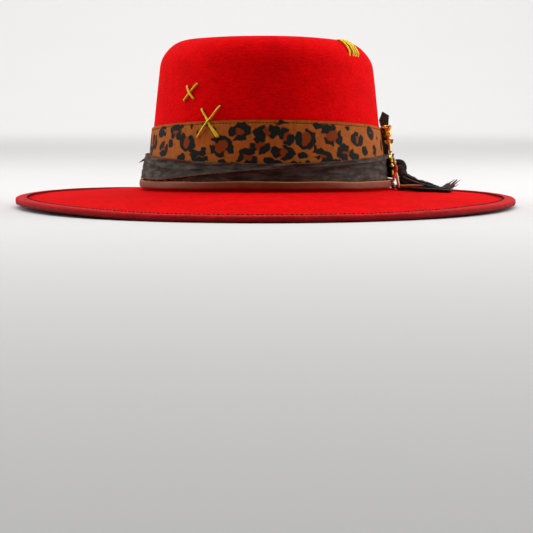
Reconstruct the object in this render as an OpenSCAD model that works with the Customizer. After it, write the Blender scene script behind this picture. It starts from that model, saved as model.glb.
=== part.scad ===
// Wide-brimmed felt hat with a flat-topped crown, a printed band, a wound scarf,
// a leather lace and a bundle of charms at the wearer's left side.
// +Z is up and -Y is the front. The origin is the middle of the hat, on the plane
// that the brim's edge rests on. All sizes are in millimetres.

/* [Head opening] */
// Width of the opening inside the sweatband, side to side
head_w = 165; // [138:1:198]
// Length of the opening inside the sweatband, front to back
head_l = 199; // [172:1:240]

/* [Felt] */
// Thickness of the felt
felt_t = 2.4; // [1.8:0.1:3]
// Height of the crown above the break, where crown and brim meet
crown_h = 108; // [88:1:130]
// Lean of the crown's wall, in degrees
crown_lean = 6; // [3:0.5:8]
// Radius of the crown's shoulder
shoulder_r = 22; // [16:1:27]
// Width of the flat rim between the shoulder and the sunk top
rim_w = 6; // [3:0.5:8]
// Depth of the sunk top
top_sink = 6; // [3:0.5:8]
// Radius of the two bends that lead down into the sunk top
sink_r = 7; // [5:0.5:9]
// Width of the brim, from the crown's wall to the felt's edge
brim_w = 92; // [60:1:112]
// Rise of the brim from its edge to the break
brim_rise = 8.6; // [5:0.2:14]
// Width of the level strip round the brim's edge
edge_flat = 10; // [9:0.5:16]
// Radius of the bend at the break
break_r = 3.5; // [2.5:0.5:5]

/* [Edge binding] */
// Width of the binding on each face of the brim
binding_w = 8.5; // [5:0.5:9]
// Thickness of the binding
binding_t = 0.9; // [0.6:0.1:1.4]
// Diameter of the sewing thread
thread_d = 0.7; // [0.4:0.1:1]

/* [Printed band] */
// Thickness of the printed band
band_t = 1.2; // [0.8:0.1:2]
// Height of the band's top edge above the break, at the sides
band_h = 43; // [36:1:55]
// How much higher the band's top edge stands at the front than at the sides
band_front_lift = 8; // [0:0.5:10]

/* [Scarf] */
// Thickness of one turn of the scarf
scarf_t = 1.2; // [0.8:0.1:1.8]
// Height of the wound scarf
scarf_h = 15; // [10:0.5:20]
// Height of the scarf's lower edge above the break
scarf_low = 7.5; // [6.8:0.1:10]
// Radius of the knot across its face
knot_r = 5.6; // [4:0.2:6]
// How far the knot stands out from the scarf
knot_depth = 11.5; // [8:0.5:14]

/* [Leather lace] */
// Width of the lace, up the crown
lace_w = 5.2; // [3.5:0.1:5.6]
// Thickness of the lace
lace_t = 3; // [2:0.1:4]

/* [Rose pin] */
// Diameter of the pin's stem
stem_d = 1.6; // [1.2:0.1:2.2]
// Length of the stem above the lashing, to the foot of the bloom
stem_l = 17; // [14:0.5:24]
// Diameter of the open bloom at its lip
bloom_d = 7.6; // [6:0.2:9]
// Height of the bloom with its calyx
bloom_h = 14.5; // [12:0.5:18]

/* [Charms] */
// Diameter of the coral branch
coral_d = 2; // [1.6:0.1:2.4]
// Diameter of the silver bead
silver_d = 2.3; // [2:0.1:2.6]
// Diameter of the black bead
black_d = 2.8; // [2.4:0.1:3]
// Diameter of the quill at its thickest
quill_d = 2; // [1.4:0.1:2.4]

/* [Gold stitches] */
// Diameter of the gold cord
gold_d = 1.4; // [1:0.1:1.8]

/* [Sweatband and lining] */
// Thickness of the sweatband leather
sweat_t = 1; // [0.7:0.1:1.3]
// Height of the sweatband
sweat_h = 34; // [26:1:42]
// Diameter of the reed along the sweatband's lower edge
reed_d = 1.8; // [1.4:0.1:2.2]
// Thickness of the satin lining
lining_t = 0.5; // [0.3:0.1:0.8]

/* [Hidden] */
$fn = 120;

// Clearances between layers that are sewn, wound or pushed together.
sewn = 0.15;
running = 0.25;
loose = 0.3;

// The oval: two end arcs and two side arcs that meet with a common tangent. Their centres
// lie on a 3-4-5 triangle, so that the joins fall on round numbers.
half_w = head_w / 2;
half_l = head_l / 2;
oval_unit = (half_l - half_w) / 2;
end_r = half_w - oval_unit;
end_c = 3 * oval_unit;
side_r = end_r + 5 * oval_unit;
side_c = 4 * oval_unit;
join_dir = atan2(3, 4);
// Each arc is [centre x, centre y, radius, direction it faces].
ARCS = [[-side_c, 0, side_r, 0], [0, end_c, end_r, 90], [side_c, 0, side_r, 180], [0, -end_c, end_r, 270]];
// The share of the plan that belongs to each arc.
SIDE_SHARE = [[0, -end_c], [400, -end_c - 300], [400, end_c + 300], [0, end_c]];
END_SHARE = [[end_c, 0], [end_c + 300, -400], [end_c + 300, 400]];

function wrapped(d) = d - 360 * floor((d + 180) / 360);
function arc_facing(d) = let (w = wrapped(d))
    abs(w) <= join_dir ? ARCS[0] : abs(w) >= 180 - join_dir ? ARCS[2] : w > 0 ? ARCS[1] : ARCS[3];
// The point that lies u outside the head opening where the oval faces direction d.
function oval_at(d, u, z) = let (a = arc_facing(d))
    [a[0] + (a[2] + u) * cos(d), a[1] + (a[2] + u) * sin(d), z];

// Heights and offsets that several pieces share.
edge_top = binding_t + sewn + felt_t;
break_z = edge_top + brim_rise;
top_z = break_z + crown_h;
felt_in = sweat_t + lining_t + 2 * sewn;
felt_out = felt_in + felt_t;
edge_u = felt_out + brim_w;
level_u = edge_u - edge_flat;
brim_slope = atan2(brim_rise, level_u - felt_out);
floor_z = top_z - top_sink;

function wall_u(z) = felt_out - (z - break_z) * tan(crown_lean);
function brim_z(u) = edge_top + max(0, level_u - u) * tan(brim_slope);
function dir2(a) = [cos(a), sin(a)];
function arc_points(c, r, a0, a1, n, first = 0) =
    [for (i = [first : n]) c + r * dir2(a0 + (a1 - a0) * i / n)];

// The felt's outer face, from the brim's edge up to the sunk top, as [u, z] points.
brim_dir = dir2(180 - brim_slope);
wall_dir = dir2(90 + crown_lean);
break_c = [felt_out, break_z] - break_r * tan((90 - brim_slope - crown_lean) / 2) * brim_dir
          + break_r * dir2(90 - brim_slope);
crest = [wall_u(top_z), top_z];
shoulder_c = crest - shoulder_r * tan((90 - crown_lean) / 2) * wall_dir
             + shoulder_r * dir2(180 + crown_lean);
sink_turn = acos(1 - top_sink / (2 * sink_r));
lip_c = [shoulder_c[0] - rim_w, top_z - sink_r];
foot_c = [lip_c[0] - 2 * sink_r * sin(sink_turn), floor_z + sink_r];
felt_face = concat([[edge_u, edge_top], [level_u, edge_top]],
                   arc_points(break_c, break_r, 270 - brim_slope, 180 + crown_lean, 5),
                   arc_points(shoulder_c, shoulder_r, crown_lean, 90, 9),
                   arc_points(lip_c, sink_r, 90, 90 + sink_turn, 4),
                   arc_points(foot_c, sink_r, 270 + sink_turn, 270, 4, 1));

// A copy of an [u, z] line moved by t to its left-hand side, with mitred corners.
function unit(v) = v / norm(v);
function left(v) = [-v[1], v[0]];
function moved(line, t) = [for (i = [0 : len(line) - 1])
    let (a = left(unit(line[max(i, 1)] - line[max(i, 1) - 1])),
         b = left(unit(line[min(i + 1, len(line) - 1)] - line[min(i, len(line) - 2)])))
    line[i] + t * (a + b) / (1 + a * b)];
function snapped(p) = [for (v = p) round(v * 1000) / 1000];
function reversed(line) = [for (i = [len(line) - 1 : -1 : 0]) line[i]];

// Keeps the part of children that belongs to one arc of the oval.
module arc_share(a) intersection() {
    translate([a[0], a[1], 0]) rotate([0, 0, a[3] + 180]) children();
    rotate([0, 0, a[3]]) translate([0, 0, -20]) linear_extrude(crown_h + 80)
        polygon(a[0] == 0 ? END_SHARE : SIDE_SHARE);
}

// Sweeps a 2D section, drawn with x as u and y as z, once round the oval.
module round_oval() for (a = ARCS)
    arc_share(a) rotate_extrude() translate([a[2], 0]) children();

// Sweeps a dome once round the oval. Its two [u, z] lines both end on a level floor.
module round_oval_dome(outer, inner) for (a = ARCS)
    arc_share(a) rotate_extrude()
        polygon(concat([for (p = outer) snapped(p) + [a[2], 0]],
                       [snapped([0, outer[len(outer) - 1][1]]), snapped([0, inner[len(inner) - 1][1]])],
                       [for (p = reversed(inner)) snapped(p) + [a[2], 0]]));

// A shell section between two lines of [u, z] points.
module section(points) polygon([for (p = points) snapped(p)]);
module between(line_a, line_b) section(concat(line_a, reversed(line_b)));

// Puts children where the oval faces direction d: x out, y along the oval, z up.
module facing(d) {
    a = arc_facing(d);
    translate([a[0], a[1], 0]) rotate([0, 0, d]) translate([a[2], 0, 0]) children();
}

module rounded_bar(c, w, h, r) {
    corners = concat(arc_points([w / 2 - r, h / 2 - r], r, 0, 90, 5),
                     arc_points([r - w / 2, h / 2 - r], r, 90, 180, 5),
                     arc_points([r - w / 2, r - h / 2], r, 180, 270, 5),
                     arc_points([w / 2 - r, r - h / 2], r, 270, 360, 5));
    section([for (p = corners) c + p]);
}

// A tube swept through points, with a half-width, a half-height and a lean for each ring.
module tube(points, wide, high, sides = 10) {
    n = len(points);
    function along(i) = unit(points[min(i + 1, n - 1)] - points[max(i - 1, 0)]);
    function across(i) = unit(cross([0, 0, 1], along(i)));
    function above(i) = cross(along(i), across(i));
    rings = [for (i = [0 : n - 1], k = [0 : sides - 1])
        points[i] + wide[i] * cos(360 * k / sides) * across(i)
                  + high[i] * sin(360 * k / sides) * above(i)];
    polyhedron(rings, concat(
        [[for (k = [0 : sides - 1]) k]],
        [for (i = [0 : n - 2], k = [0 : sides - 1])
            let (a = i * sides + k, b = i * sides + (k + 1) % sides)
            each [[a, a + sides, b + sides], [a, b + sides, b]]],
        [[for (k = [sides - 1 : -1 : 0]) (n - 1) * sides + k]]));
}

// A straight bar with round ends between two points.
module bar(p, q, r) {
    v = q - p;
    translate(p) rotate([0, acos(v[2] / norm(v)), atan2(v[1], v[0])]) {
        cylinder(h = norm(v), r = r, $fn = 24);
        sphere(r = r, $fn = 24);
        translate([0, 0, norm(v)]) sphere(r = r, $fn = 24);
    }
}

// ---- Felt ----

module felt_body() color("red") round_oval_dome(felt_face, moved(felt_face, felt_t));

binding_out = edge_u + sewn + binding_t;
binding_in = binding_out - binding_w;
binding_top = edge_top + sewn + binding_t;
binding_round = 1.6;

module brim_binding() color("firebrick") round_oval()
    section(concat([[binding_in, 0]],
                   arc_points([binding_out - binding_round, binding_round], binding_round, 270, 360, 5),
                   arc_points([binding_out - binding_round, binding_top - binding_round],
                              binding_round, 0, 90, 5),
                   [[binding_in, binding_top], [binding_in, binding_top - binding_t],
                    [edge_u + sewn, binding_top - binding_t], [edge_u + sewn, binding_t],
                    [binding_in, binding_t]]));

module binding_thread() color("maroon") round_oval()
    translate(snapped([binding_in - sewn - thread_d / 2, edge_top + sewn + thread_d / 2]))
        circle(d = thread_d, $fn = 16);

// ---- Printed band ----

function band_in(z) = wall_u(z) + sewn;
function band_out(z) = band_in(z) + band_t;
band_low = break_z + break_r + sewn;
band_side_z = break_z + band_h;
band_tilt = atan2(band_front_lift, half_l + felt_out);

module band_section(z0, z1) between([[band_in(z0), z0], [band_in(z1), z1]],
                                    [[band_out(z0), z0], [band_out(z1), z1]]);

// The space above the plane that trims the band's top edge.
module above_band(extra = 0) {
    reach = head_l + head_w;
    translate([0, 0, band_side_z + extra]) rotate([-band_tilt, 0, 0])
        translate([-reach, -reach, 0]) cube([2 * reach, 2 * reach, 3 * band_front_lift + 30]);
}

module printed_band() color("peru") difference() {
    round_oval() band_section(band_low, band_side_z + band_front_lift + 2);
    above_band();
}

stitch_inset = 1.8;
band_thread_t = 0.3;

module band_thread() color("saddlebrown") intersection() {
    round_oval() {
        z0 = band_side_z - band_front_lift - stitch_inset - 2;
        z1 = band_side_z + band_front_lift + 2;
        between([[band_out(z0) + sewn, z0], [band_out(z1) + sewn, z1]],
                [[band_out(z0) + sewn + band_thread_t, z0], [band_out(z1) + sewn + band_thread_t, z1]]);
    }
    difference() {
        above_band(-stitch_inset);
        above_band(thread_d / 2 - stitch_inset);
    }
}

// ---- Scarf ----

scarf_z = break_z + scarf_low;
function turn_in(z, turn) = band_out(z) + sewn + turn * (scarf_t + sewn);

module scarf_turn(turn) round_oval()
    between([[turn_in(scarf_z, turn), scarf_z],
             [turn_in(scarf_z + scarf_h, turn), scarf_z + scarf_h]],
            [[turn_in(scarf_z, turn) + scarf_t, scarf_z],
             [turn_in(scarf_z + scarf_h, turn) + scarf_t, scarf_z + scarf_h]]);

module scarf_inner_turn() color("dimgray") scarf_turn(0);
module scarf_outer_turn() color("dimgray") scarf_turn(1);

// The knot lies on the scarf, a little behind the pin.
pin_dir = -7;
knot_dir = -2.9;
knot_z = scarf_z + scarf_h / 2 + 0.5;
knot_face = turn_in(knot_z - knot_r, 1) + scarf_t + loose;

module scarf_knot() color("dimgray") facing(knot_dir)
    translate([knot_face, 0, knot_z]) rotate([0, 90, 0])
        rotate_extrude($fn = 48)
            polygon(concat([[0, 0], [knot_r - 2, 0]],
                           arc_points([knot_r - 2, 2], 2, 270, 360, 4),
                           arc_points([knot_r - 3.4, knot_depth - 3.4], 3.4, 0, 90, 5),
                           [[0, knot_depth]]));

// The tails lie on the brim. Each point is [direction, u, clearance above the brim].
function on_brim(p, high) = oval_at(p[0], p[1], brim_z(p[1]) + p[2] + high);
upper_high = [2.4, 2.8, 2.6, 2.2, 1.6];
lower_high = [1.3, 1.5, 1.5, 1.4, 1.2, 0.9];
tail_gap = 0.5;
lower_top = tail_gap + 2 * max(lower_high) + tail_gap;
upper_route = [[-0.6, 14, lower_top], [0.3, 21, lower_top], [1.2, 28, lower_top],
               [2.2, 35, lower_top], [3, 42, lower_top]];
lower_route = [[-0.6, 15, tail_gap], [0.4, 22, tail_gap], [1.5, 30, tail_gap],
               [2.6, 38, tail_gap], [3.6, 45, tail_gap], [4.4, 51, tail_gap]];

module scarf_tail_upper() color("dimgray")
    tube([for (i = [0 : 4]) on_brim(upper_route[i], upper_high[i])],
         [5, 6, 6.5, 6.5, 6], upper_high, 12);

module scarf_tail_lower() color("black")
    tube([for (i = [0 : 5]) on_brim(lower_route[i], lower_high[i])],
         [6, 7, 8, 8.5, 8.5, 7.5], lower_high, 12);

// The scarf's short end stands up against the band, behind the pin.
stub_t = 2.6;
stub_w = 4.4;
stub_gap = band_thread_t + 2 * sewn;
stub_foot = scarf_z + scarf_h + loose;
stub_top = band_side_z + 13;
stub_dir = -4.2;

module scarf_stub() color("black") facing(stub_dir) rotate([90, 0, 0])
    linear_extrude(stub_t, center = true)
        polygon([[band_out(stub_foot) + stub_gap, stub_foot],
                 [band_out(stub_foot) + stub_w - 1, stub_foot],
                 [band_out(stub_foot) + stub_w, stub_top - 9],
                 [band_out(stub_foot) + stub_w, stub_top - 4],
                 [band_out(stub_foot) + stub_w - 2.8, stub_top],
                 [band_out(stub_top - 5) + 2, stub_top - 5],
                 [band_out(stub_top - 10) + stub_gap, stub_top - 10]]);

// ---- Leather lace ----

lace_z = break_z + 1.6 + lace_w / 2;
lace_u = band_out(lace_z - lace_w / 2) + loose + lace_t / 2;
lace_round = 1.2;

module leather_lace() color("sienna") round_oval()
    rounded_bar([lace_u, lace_z], lace_t, lace_w, lace_round);

// The lace's free end is stiff and stands out over the brim.
end_high = [1.3, 1.3, 1.2, 1, 0.6];
end_route = [[-4.6, lace_u + lace_t / 2 + loose, 1.2], [-4.6, 15, 1.7], [-4.6, 20, 2.4],
             [-4.6, 25.5, 3.3], [-4.6, 31, 4.2]];

module lace_end() color("sienna")
    tube([for (i = [0 : 4]) on_brim(end_route[i], end_high[i])],
         [2.4, 2.4, 2.2, 1.8, 0.7], end_high, 8);

// ---- Rose pin ----

// The pin stands parallel to the crown's wall. Its own frame has its origin at the lashing.
lashing_d = 0.8;
lashing_h = 2.6;
lashing_z = scarf_z + scarf_h / 2;
pin_clear = stem_d / 2 + running + lashing_d;
pin_u = turn_in(lashing_z - lashing_h, 1) + scarf_t + loose + pin_clear;
needle_l = 4.5;
collar_d = 3;

module at_pin() facing(pin_dir) translate([pin_u, 0, lashing_z]) rotate([0, -crown_lean, 0]) children();

module rose_bloom() color("gold") at_pin() translate([0, 0, stem_l]) difference() {
    rotate_extrude($fn = 64) polygon([[0, 0], [bloom_d * 0.2, 0], [bloom_d * 0.29, 1.2],
        [bloom_d * 0.27, 2.8], [bloom_d * 0.2, 3.8], [bloom_d * 0.3, 5.4],
        [bloom_d * 0.36, bloom_h * 0.62], [bloom_d / 2, bloom_h - 0.6],
        [bloom_d / 2 - 0.4, bloom_h], [bloom_d * 0.36, bloom_h - 1.2],
        [bloom_d * 0.26, bloom_h - 3], [bloom_d * 0.18, bloom_h - 0.8], [0, bloom_h - 0.4]]);
    translate([0, 0, -1]) cylinder(d = stem_d + 2 * sewn, h = 2);
}

module leaf(l, w) linear_extrude(0.7, center = true)
    polygon([[0, -0.4], [l * 0.4, -w / 2], [l, 0], [l * 0.4, w / 2], [0, 0.4]]);

module rose_stem() color("gold") at_pin() {
    translate([0, 0, lashing_h / 2]) cylinder(d = stem_d, h = stem_l + 1 - sewn - lashing_h / 2);
    translate([0, 0, -needle_l]) cylinder(d = stem_d, h = needle_l + lashing_h / 2);
    translate([0, 0, -needle_l - 2]) cylinder(d1 = 0.3, d2 = stem_d, h = 2);
    translate([0, 0, lashing_h / 2 + sewn]) cylinder(d = collar_d, h = 0.8);
    translate([0, 0, stem_l * 0.62]) rotate([0, 0, -75]) rotate([0, -60, 0]) rotate([90, 0, 0]) leaf(4.2, 2);
    translate([0, 0, stem_l * 0.42]) rotate([0, 0, -110]) rotate([0, -50, 0]) rotate([90, 0, 0]) leaf(3.6, 1.8);
}

module pin_lashing() color("black") at_pin() rotate_extrude($fn = 48)
    rounded_bar([stem_d / 2 + running + lashing_d / 2, 0], lashing_d, lashing_h, 0.35);

// ---- Charms ----

// They hang together from a knotted thread that stands out from the scarf. Their frame has
// its origin on the thread, above the middle of the coral branch.
charm_u = pin_u + pin_clear + loose + coral_d / 2;
charm_y = -2.2;
charm_z = lashing_z + 4.3;
charm_thread_d = 0.7;
cream_d = 2.4;
cream_x = -0.9;

module at_charm() facing(pin_dir) translate([charm_u, charm_y, charm_z]) children();

module charm_thread() color("black") at_charm() {
    foot = turn_in(charm_z - charm_thread_d, 1) + scarf_t + loose - charm_u;
    tip = cream_x + cream_d / 2 + sewn + 0.7;
    translate([foot, 0, 0]) rotate([0, 90, 0]) cylinder(d = charm_thread_d, h = tip - foot, $fn = 24);
    translate([tip, 0, 0]) sphere(d = 1.6, $fn = 24);
}

module cream_tip() color("wheat") at_charm() translate([cream_x, 0, 0]) rotate([0, 90, 0])
    rotate_extrude($fn = 48) {
        hole = charm_thread_d / 2 + running;
        section(concat([[hole, -cream_d / 2 + 0.3]],
                       arc_points([hole, 0], cream_d / 2 - hole, -60, 60, 6),
                       [[hole, cream_d / 2 - 0.3]]));
    }

// The branch curves down to the beads.
coral_top = -cream_d / 2 - sewn;
coral_points = [[-0.7, 0, coral_top], [-0.3, 0, -2.8], [0, -0.1, -4.3], [-0.2, -0.2, -6],
                [-0.9, -0.4, -7.8], [-1.5, -0.6, -9.6], [-1.8, -0.7, -11.4], [-1.85, -0.7, -13.4]];
coral_half = [for (s = [0.6, 0.9, 1, 1, 1, 0.95, 0.9, 0.75]) s * coral_d / 2];
silver_c = coral_points[7] - [0, 0, silver_d / 2 + sewn];
black_c = silver_c + [0.15, 0, -silver_d / 2 - black_d / 2 - sewn];

module coral_branch() color("orangered") at_charm() tube(coral_points, coral_half, coral_half, 12);

module silver_bead() color("silver") at_charm() translate(silver_c) sphere(d = silver_d, $fn = 48);

module black_bead() color("black") at_charm() translate(black_c) sphere(d = black_d, $fn = 48);

quill_y = 3.8;
quill_points = [[-0.6, quill_y, -5], [-0.3, quill_y, -7], [0.2, quill_y, -9.7], [0.9, quill_y, -12.8],
                [1.6, quill_y, -15.8], [2, quill_y, -17.8]];
quill_half = [for (s = [0.5, 0.8, 1, 1, 0.85, 0.4]) s * quill_d / 2];

module quill() color("wheat") at_charm() tube(quill_points, quill_half, quill_half, 12);

// ---- Gold stitches ----

// A stitch end is [direction, share of the crown's height, height above the felt].
on_felt = sewn + gold_d / 2 + 0.4;
on_band = on_felt + band_t + band_thread_t + 2 * sewn;
function stitch_end(s) = let (z = break_z + s[1] * crown_h) oval_at(s[0], wall_u(z) + s[2], z);

module gold_cross_small() color("gold") {
    bar(stitch_end([-132.4, 0.694, on_felt]), stitch_end([-142, 0.592, on_felt]), gold_d / 2);
    bar(stitch_end([-140.2, 0.68, on_felt]), stitch_end([-134.3, 0.606, on_felt]), gold_d / 2);
}

module gold_cross_large() color("gold") {
    bar(stitch_end([-127, 0.537, on_band]), stitch_end([-115.9, 0.367, on_band]), gold_d / 2);
    bar(stitch_end([-116, 0.555, on_band]), stitch_end([-128.6, 0.3625, on_band]), gold_d / 2);
}

// Four bars that run up over the shoulder: the direction that each one faces.
bar_dirs = [-29, -26.2, -24.2, -21.5];
bar_r = shoulder_r + sewn + gold_d / 2;

module gold_bars() color("gold") for (d = bar_dirs) facing(d)
    translate([shoulder_c[0], 0, shoulder_c[1]]) rotate([90, 0, 0]) rotate([0, 0, 26])
        rotate_extrude(angle = 54) translate([bar_r, 0]) circle(d = gold_d, $fn = 16);

// ---- Sweatband and lining ----

function sweat_u(z) = wall_u(z) - felt_t / cos(crown_lean) - 2 * sewn - lining_t - sweat_t;
sweat_z = break_z;

module sweatband() color("saddlebrown") round_oval()
    between([[sweat_u(sweat_z), sweat_z], [sweat_u(sweat_z + sweat_h), sweat_z + sweat_h]],
            [[sweat_u(sweat_z) + sweat_t, sweat_z],
             [sweat_u(sweat_z + sweat_h) + sweat_t, sweat_z + sweat_h]]);

module sweatband_thread() color("tan") round_oval()
    translate(snapped([sweat_u(sweat_z + 3) - sewn - 0.2, sweat_z + 3])) circle(d = 0.4, $fn = 16);

module sweatband_reed() color("saddlebrown") round_oval()
    translate(snapped([sweat_u(sweat_z) + reed_d / 2 - 0.4, sweat_z - sewn - reed_d / 2]))
        circle(d = reed_d, $fn = 24);

bow_t = 0.8;

module sweatband_bow() color("black") facing(90)
    translate([sweat_u(sweat_z + 11) - 2 * loose - bow_t, 0, sweat_z + 8]) rotate([90, 0, 90])
        linear_extrude(bow_t)
            polygon([[1.1, 1], [7, 2.6], [6.4, 0], [7, -2.6], [1.1, -1], [1.1, -1.5], [-1.1, -1.5],
                     [-1.1, -1], [-7, -2.6], [-6.4, 0], [-7, 2.6], [-1.1, 1], [-1.1, 1.5], [1.1, 1.5]]);

lining_low = sweat_z + sweat_h - 8;
lining_seam_z = shoulder_c[1] + (shoulder_r - felt_t - sewn - lining_t) * sin(crown_lean) - 2 * loose;
function lining_u(z) = wall_u(z) - (felt_t + sewn) / cos(crown_lean) - lining_t;

module lining_side() color("black") round_oval()
    between([[lining_u(lining_low), lining_low], [lining_u(lining_seam_z), lining_seam_z]],
            [[lining_u(lining_low) + lining_t, lining_low],
             [lining_u(lining_seam_z) + lining_t, lining_seam_z]]);

// The top panel follows the shoulder's inner face and the sunk top.
ceiling_face = concat(arc_points(shoulder_c, shoulder_r, crown_lean, 90, 9),
                      arc_points(lip_c, sink_r, 90, 90 + sink_turn, 4),
                      arc_points(foot_c, sink_r, 270 + sink_turn, 270, 4, 1));

module lining_top() color("black")
    round_oval_dome(moved(ceiling_face, felt_t + sewn), moved(ceiling_face, felt_t + sewn + lining_t));

felt_body();
brim_binding();
binding_thread();
printed_band();
band_thread();
scarf_inner_turn();
scarf_outer_turn();
scarf_knot();
scarf_tail_upper();
scarf_tail_lower();
scarf_stub();
leather_lace();
lace_end();
rose_bloom();
rose_stem();
pin_lashing();
charm_thread();
coral_branch();
cream_tip();
silver_bead();
black_bead();
quill();
gold_cross_small();
gold_cross_large();
gold_bars();
sweatband();
sweatband_thread();
sweatband_reed();
sweatband_bow();
lining_side();
lining_top();
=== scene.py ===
import math
import random

import bmesh
import bpy
from mathutils import Matrix, Vector, noise


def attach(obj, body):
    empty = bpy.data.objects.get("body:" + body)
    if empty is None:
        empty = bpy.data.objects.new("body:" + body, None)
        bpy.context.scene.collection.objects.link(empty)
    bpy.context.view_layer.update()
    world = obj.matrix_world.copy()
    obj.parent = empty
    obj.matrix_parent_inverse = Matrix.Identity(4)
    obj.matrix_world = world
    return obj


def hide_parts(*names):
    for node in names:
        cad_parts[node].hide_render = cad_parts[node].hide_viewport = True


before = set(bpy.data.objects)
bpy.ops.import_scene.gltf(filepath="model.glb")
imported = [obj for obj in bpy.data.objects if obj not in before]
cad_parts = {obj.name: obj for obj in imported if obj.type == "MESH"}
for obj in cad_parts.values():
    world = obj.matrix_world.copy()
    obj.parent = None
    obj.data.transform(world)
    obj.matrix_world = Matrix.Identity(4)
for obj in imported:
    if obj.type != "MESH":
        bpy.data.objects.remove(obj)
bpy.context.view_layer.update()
MM = 0.001
noise.seed_set(7)  # unseeded, noise_vector would take its offsets from the clock

# ---- The studio ----
# One wide sheet of pale paper, curved up behind the hat, lit by two large side boxes that
# stand a little behind it, a top box and a wash on the paper. The camera stands a little above
# the crown's middle and looks slightly down.

scene = bpy.context.scene
scene.view_settings.view_transform = "Standard"

camera = bpy.data.objects.new("camera", bpy.data.cameras.new("camera"))
scene.collection.objects.link(camera)
scene.camera = camera
CAMERA_AWAY, CAMERA_UP, LOOK_DOWN = 1.4, 0.0803, 5.11
camera.data.lens = 130.3
camera.location = (0.0007, -CAMERA_AWAY, CAMERA_UP)
camera.rotation_euler = (math.radians(90 - LOOK_DOWN), 0, 0)


def linear(code, alpha=1.0):
    """An sRGB hex colour as the linear values that the shaders use."""
    parts = [int(code[i : i + 2], 16) / 255 for i in (0, 2, 4)]
    return [p / 12.92 if p < 0.04045 else ((p + 0.055) / 1.055) ** 2.4 for p in parts] + [alpha]


def add(tree, kind, inputs=None, **settings):
    """Adds a node, with its settings, and with a value or a link for each input."""
    node = tree.nodes.new(kind)
    for name, value in settings.items():
        setattr(node, name, value)
    for name, value in (inputs or {}).items():
        if isinstance(value, bpy.types.NodeSocket):
            tree.links.new(value, node.inputs[name])
        else:
            node.inputs[name].default_value = value
    return node


def begin_material(name, **inputs):
    """An empty material: returns it, its tree, its surface shader and its Object coordinates."""
    material = bpy.data.materials.new(name)
    material.use_nodes = True
    tree = material.node_tree
    surface = tree.nodes["Principled BSDF"]
    for socket, value in inputs.items():
        surface.inputs[socket.replace("_", " ")].default_value = value
    return material, tree, surface, add(tree, "ShaderNodeTexCoord").outputs["Object"]


paper = begin_material("studio_paper", Roughness=0.9, Base_Color=linear("cdcccb"))[0]

bm = bmesh.new()
PAPER_HALF, CURVE_AT, CURVE_R = 7, 3.0, 2
line = [(y, -0.0003) for y in (-4.0, CURVE_AT)]
line += [(CURVE_AT + CURVE_R * math.sin(a), CURVE_R - CURVE_R * math.cos(a))
         for a in (math.radians(9 * k) for k in range(1, 11))]
line += [(5.0, 6.0)]
verts = [bm.verts.new((-PAPER_HALF, y, z)) for y, z in line]
edges = [bm.edges.new(pair) for pair in zip(verts, verts[1:])]
grown = bmesh.ops.extrude_edge_only(bm, edges=edges)["geom"]
bmesh.ops.translate(bm, verts=[g for g in grown if isinstance(g, bmesh.types.BMVert)], vec=(2 * PAPER_HALF, 0, 0))
for face in bm.faces:
    face.smooth = True
mesh = bpy.data.meshes.new("backdrop")
bm.to_mesh(mesh)
backdrop = bpy.data.objects.new("backdrop", mesh)
scene.collection.objects.link(backdrop)
mesh.materials.append(paper)

LIGHTS = [
    ("left_box", (-1.15, 0.25, 0.55), (0.9, 1.3), 12),
    ("right_box", (1.15, 0.25, 0.55), (0.9, 1.3), 16),
    ("top_box", (0.0, -0.1, 1.5), (1.8, 1.4), 21),
    ("backdrop_wash", (0.0, 2.7, 2.4), (5.0, 1.2), 120),
]
for name, spot, size, power in LIGHTS:
    lamp = bpy.data.lights.new(name, "AREA")
    lamp.shape, lamp.size, lamp.size_y, lamp.energy = "RECTANGLE", size[0], size[1], power
    box = bpy.data.objects.new(name, lamp)
    box.location = spot
    target = Vector((0, 3.8, 0.1)) if name == "backdrop_wash" else Vector((0, 0, 0.06))
    box.rotation_euler = (target - Vector(spot)).to_track_quat("-Z", "Y").to_euler()
    scene.collection.objects.link(box)

world = bpy.data.worlds.new("studio")
scene.world = world
world.use_nodes = True
world.node_tree.nodes["Background"].inputs["Color"].default_value = linear("f4f5f8")
world.node_tree.nodes["Background"].inputs["Strength"].default_value = 0.12

# ---- Felt ----
# One blocked body of brushed wool felt, 2.4 mm thick: the crown was pulled over an oval block
# and its top pressed down, and the brim was ironed out flat. Millimetres, as for every piece.

END_R, END_C, SIDE_R, SIDE_C = 74.0, 25.5, 116.5, 34.0
END_HALF, SIDE_SWEEP = math.degrees(math.atan2(4, 3)), 2 * math.degrees(math.atan2(3, 4))
LEAN, CROWN_TOP, FELT, EDGE, LEVEL = 6.0, 120.05, 2.4, 96.2, 86.2
BREAK = Vector((4.2, 12.05))
EDGE_TOP = 3.45
SLOPE = math.degrees(math.atan2(8.6, LEVEL - BREAK.x))
FULL = 360.0


def heading(degrees):
    return Vector((math.cos(math.radians(degrees)), math.sin(math.radians(degrees))))


def oval(facing, out):
    """Where the head oval faces `facing` degrees, the plan point that lies `out` beyond it."""
    turned = (facing + 180) % 360 - 180
    if abs(turned) <= 90 - END_HALF:
        return Vector((-SIDE_C, 0)) + (SIDE_R + out) * heading(turned)
    if abs(turned) >= 90 + END_HALF:
        return Vector((SIDE_C, 0)) + (SIDE_R + out) * heading(turned)
    return Vector((0, math.copysign(END_C, turned))) + (END_R + out) * heading(turned)


def run_at(facing, out=2.0):
    """The length round the oval from the middle of the front, positive to the wearer's left."""
    turned = (facing + 270) % 360 - 180
    a = abs(turned)
    length = (END_R + out) * math.radians(min(a, END_HALF))
    length += (SIDE_R + out) * math.radians(min(max(a - END_HALF, 0), SIDE_SWEEP))
    length += (END_R + out) * math.radians(max(a - END_HALF - SIDE_SWEEP, 0))
    return math.copysign(length, turned)


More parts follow.
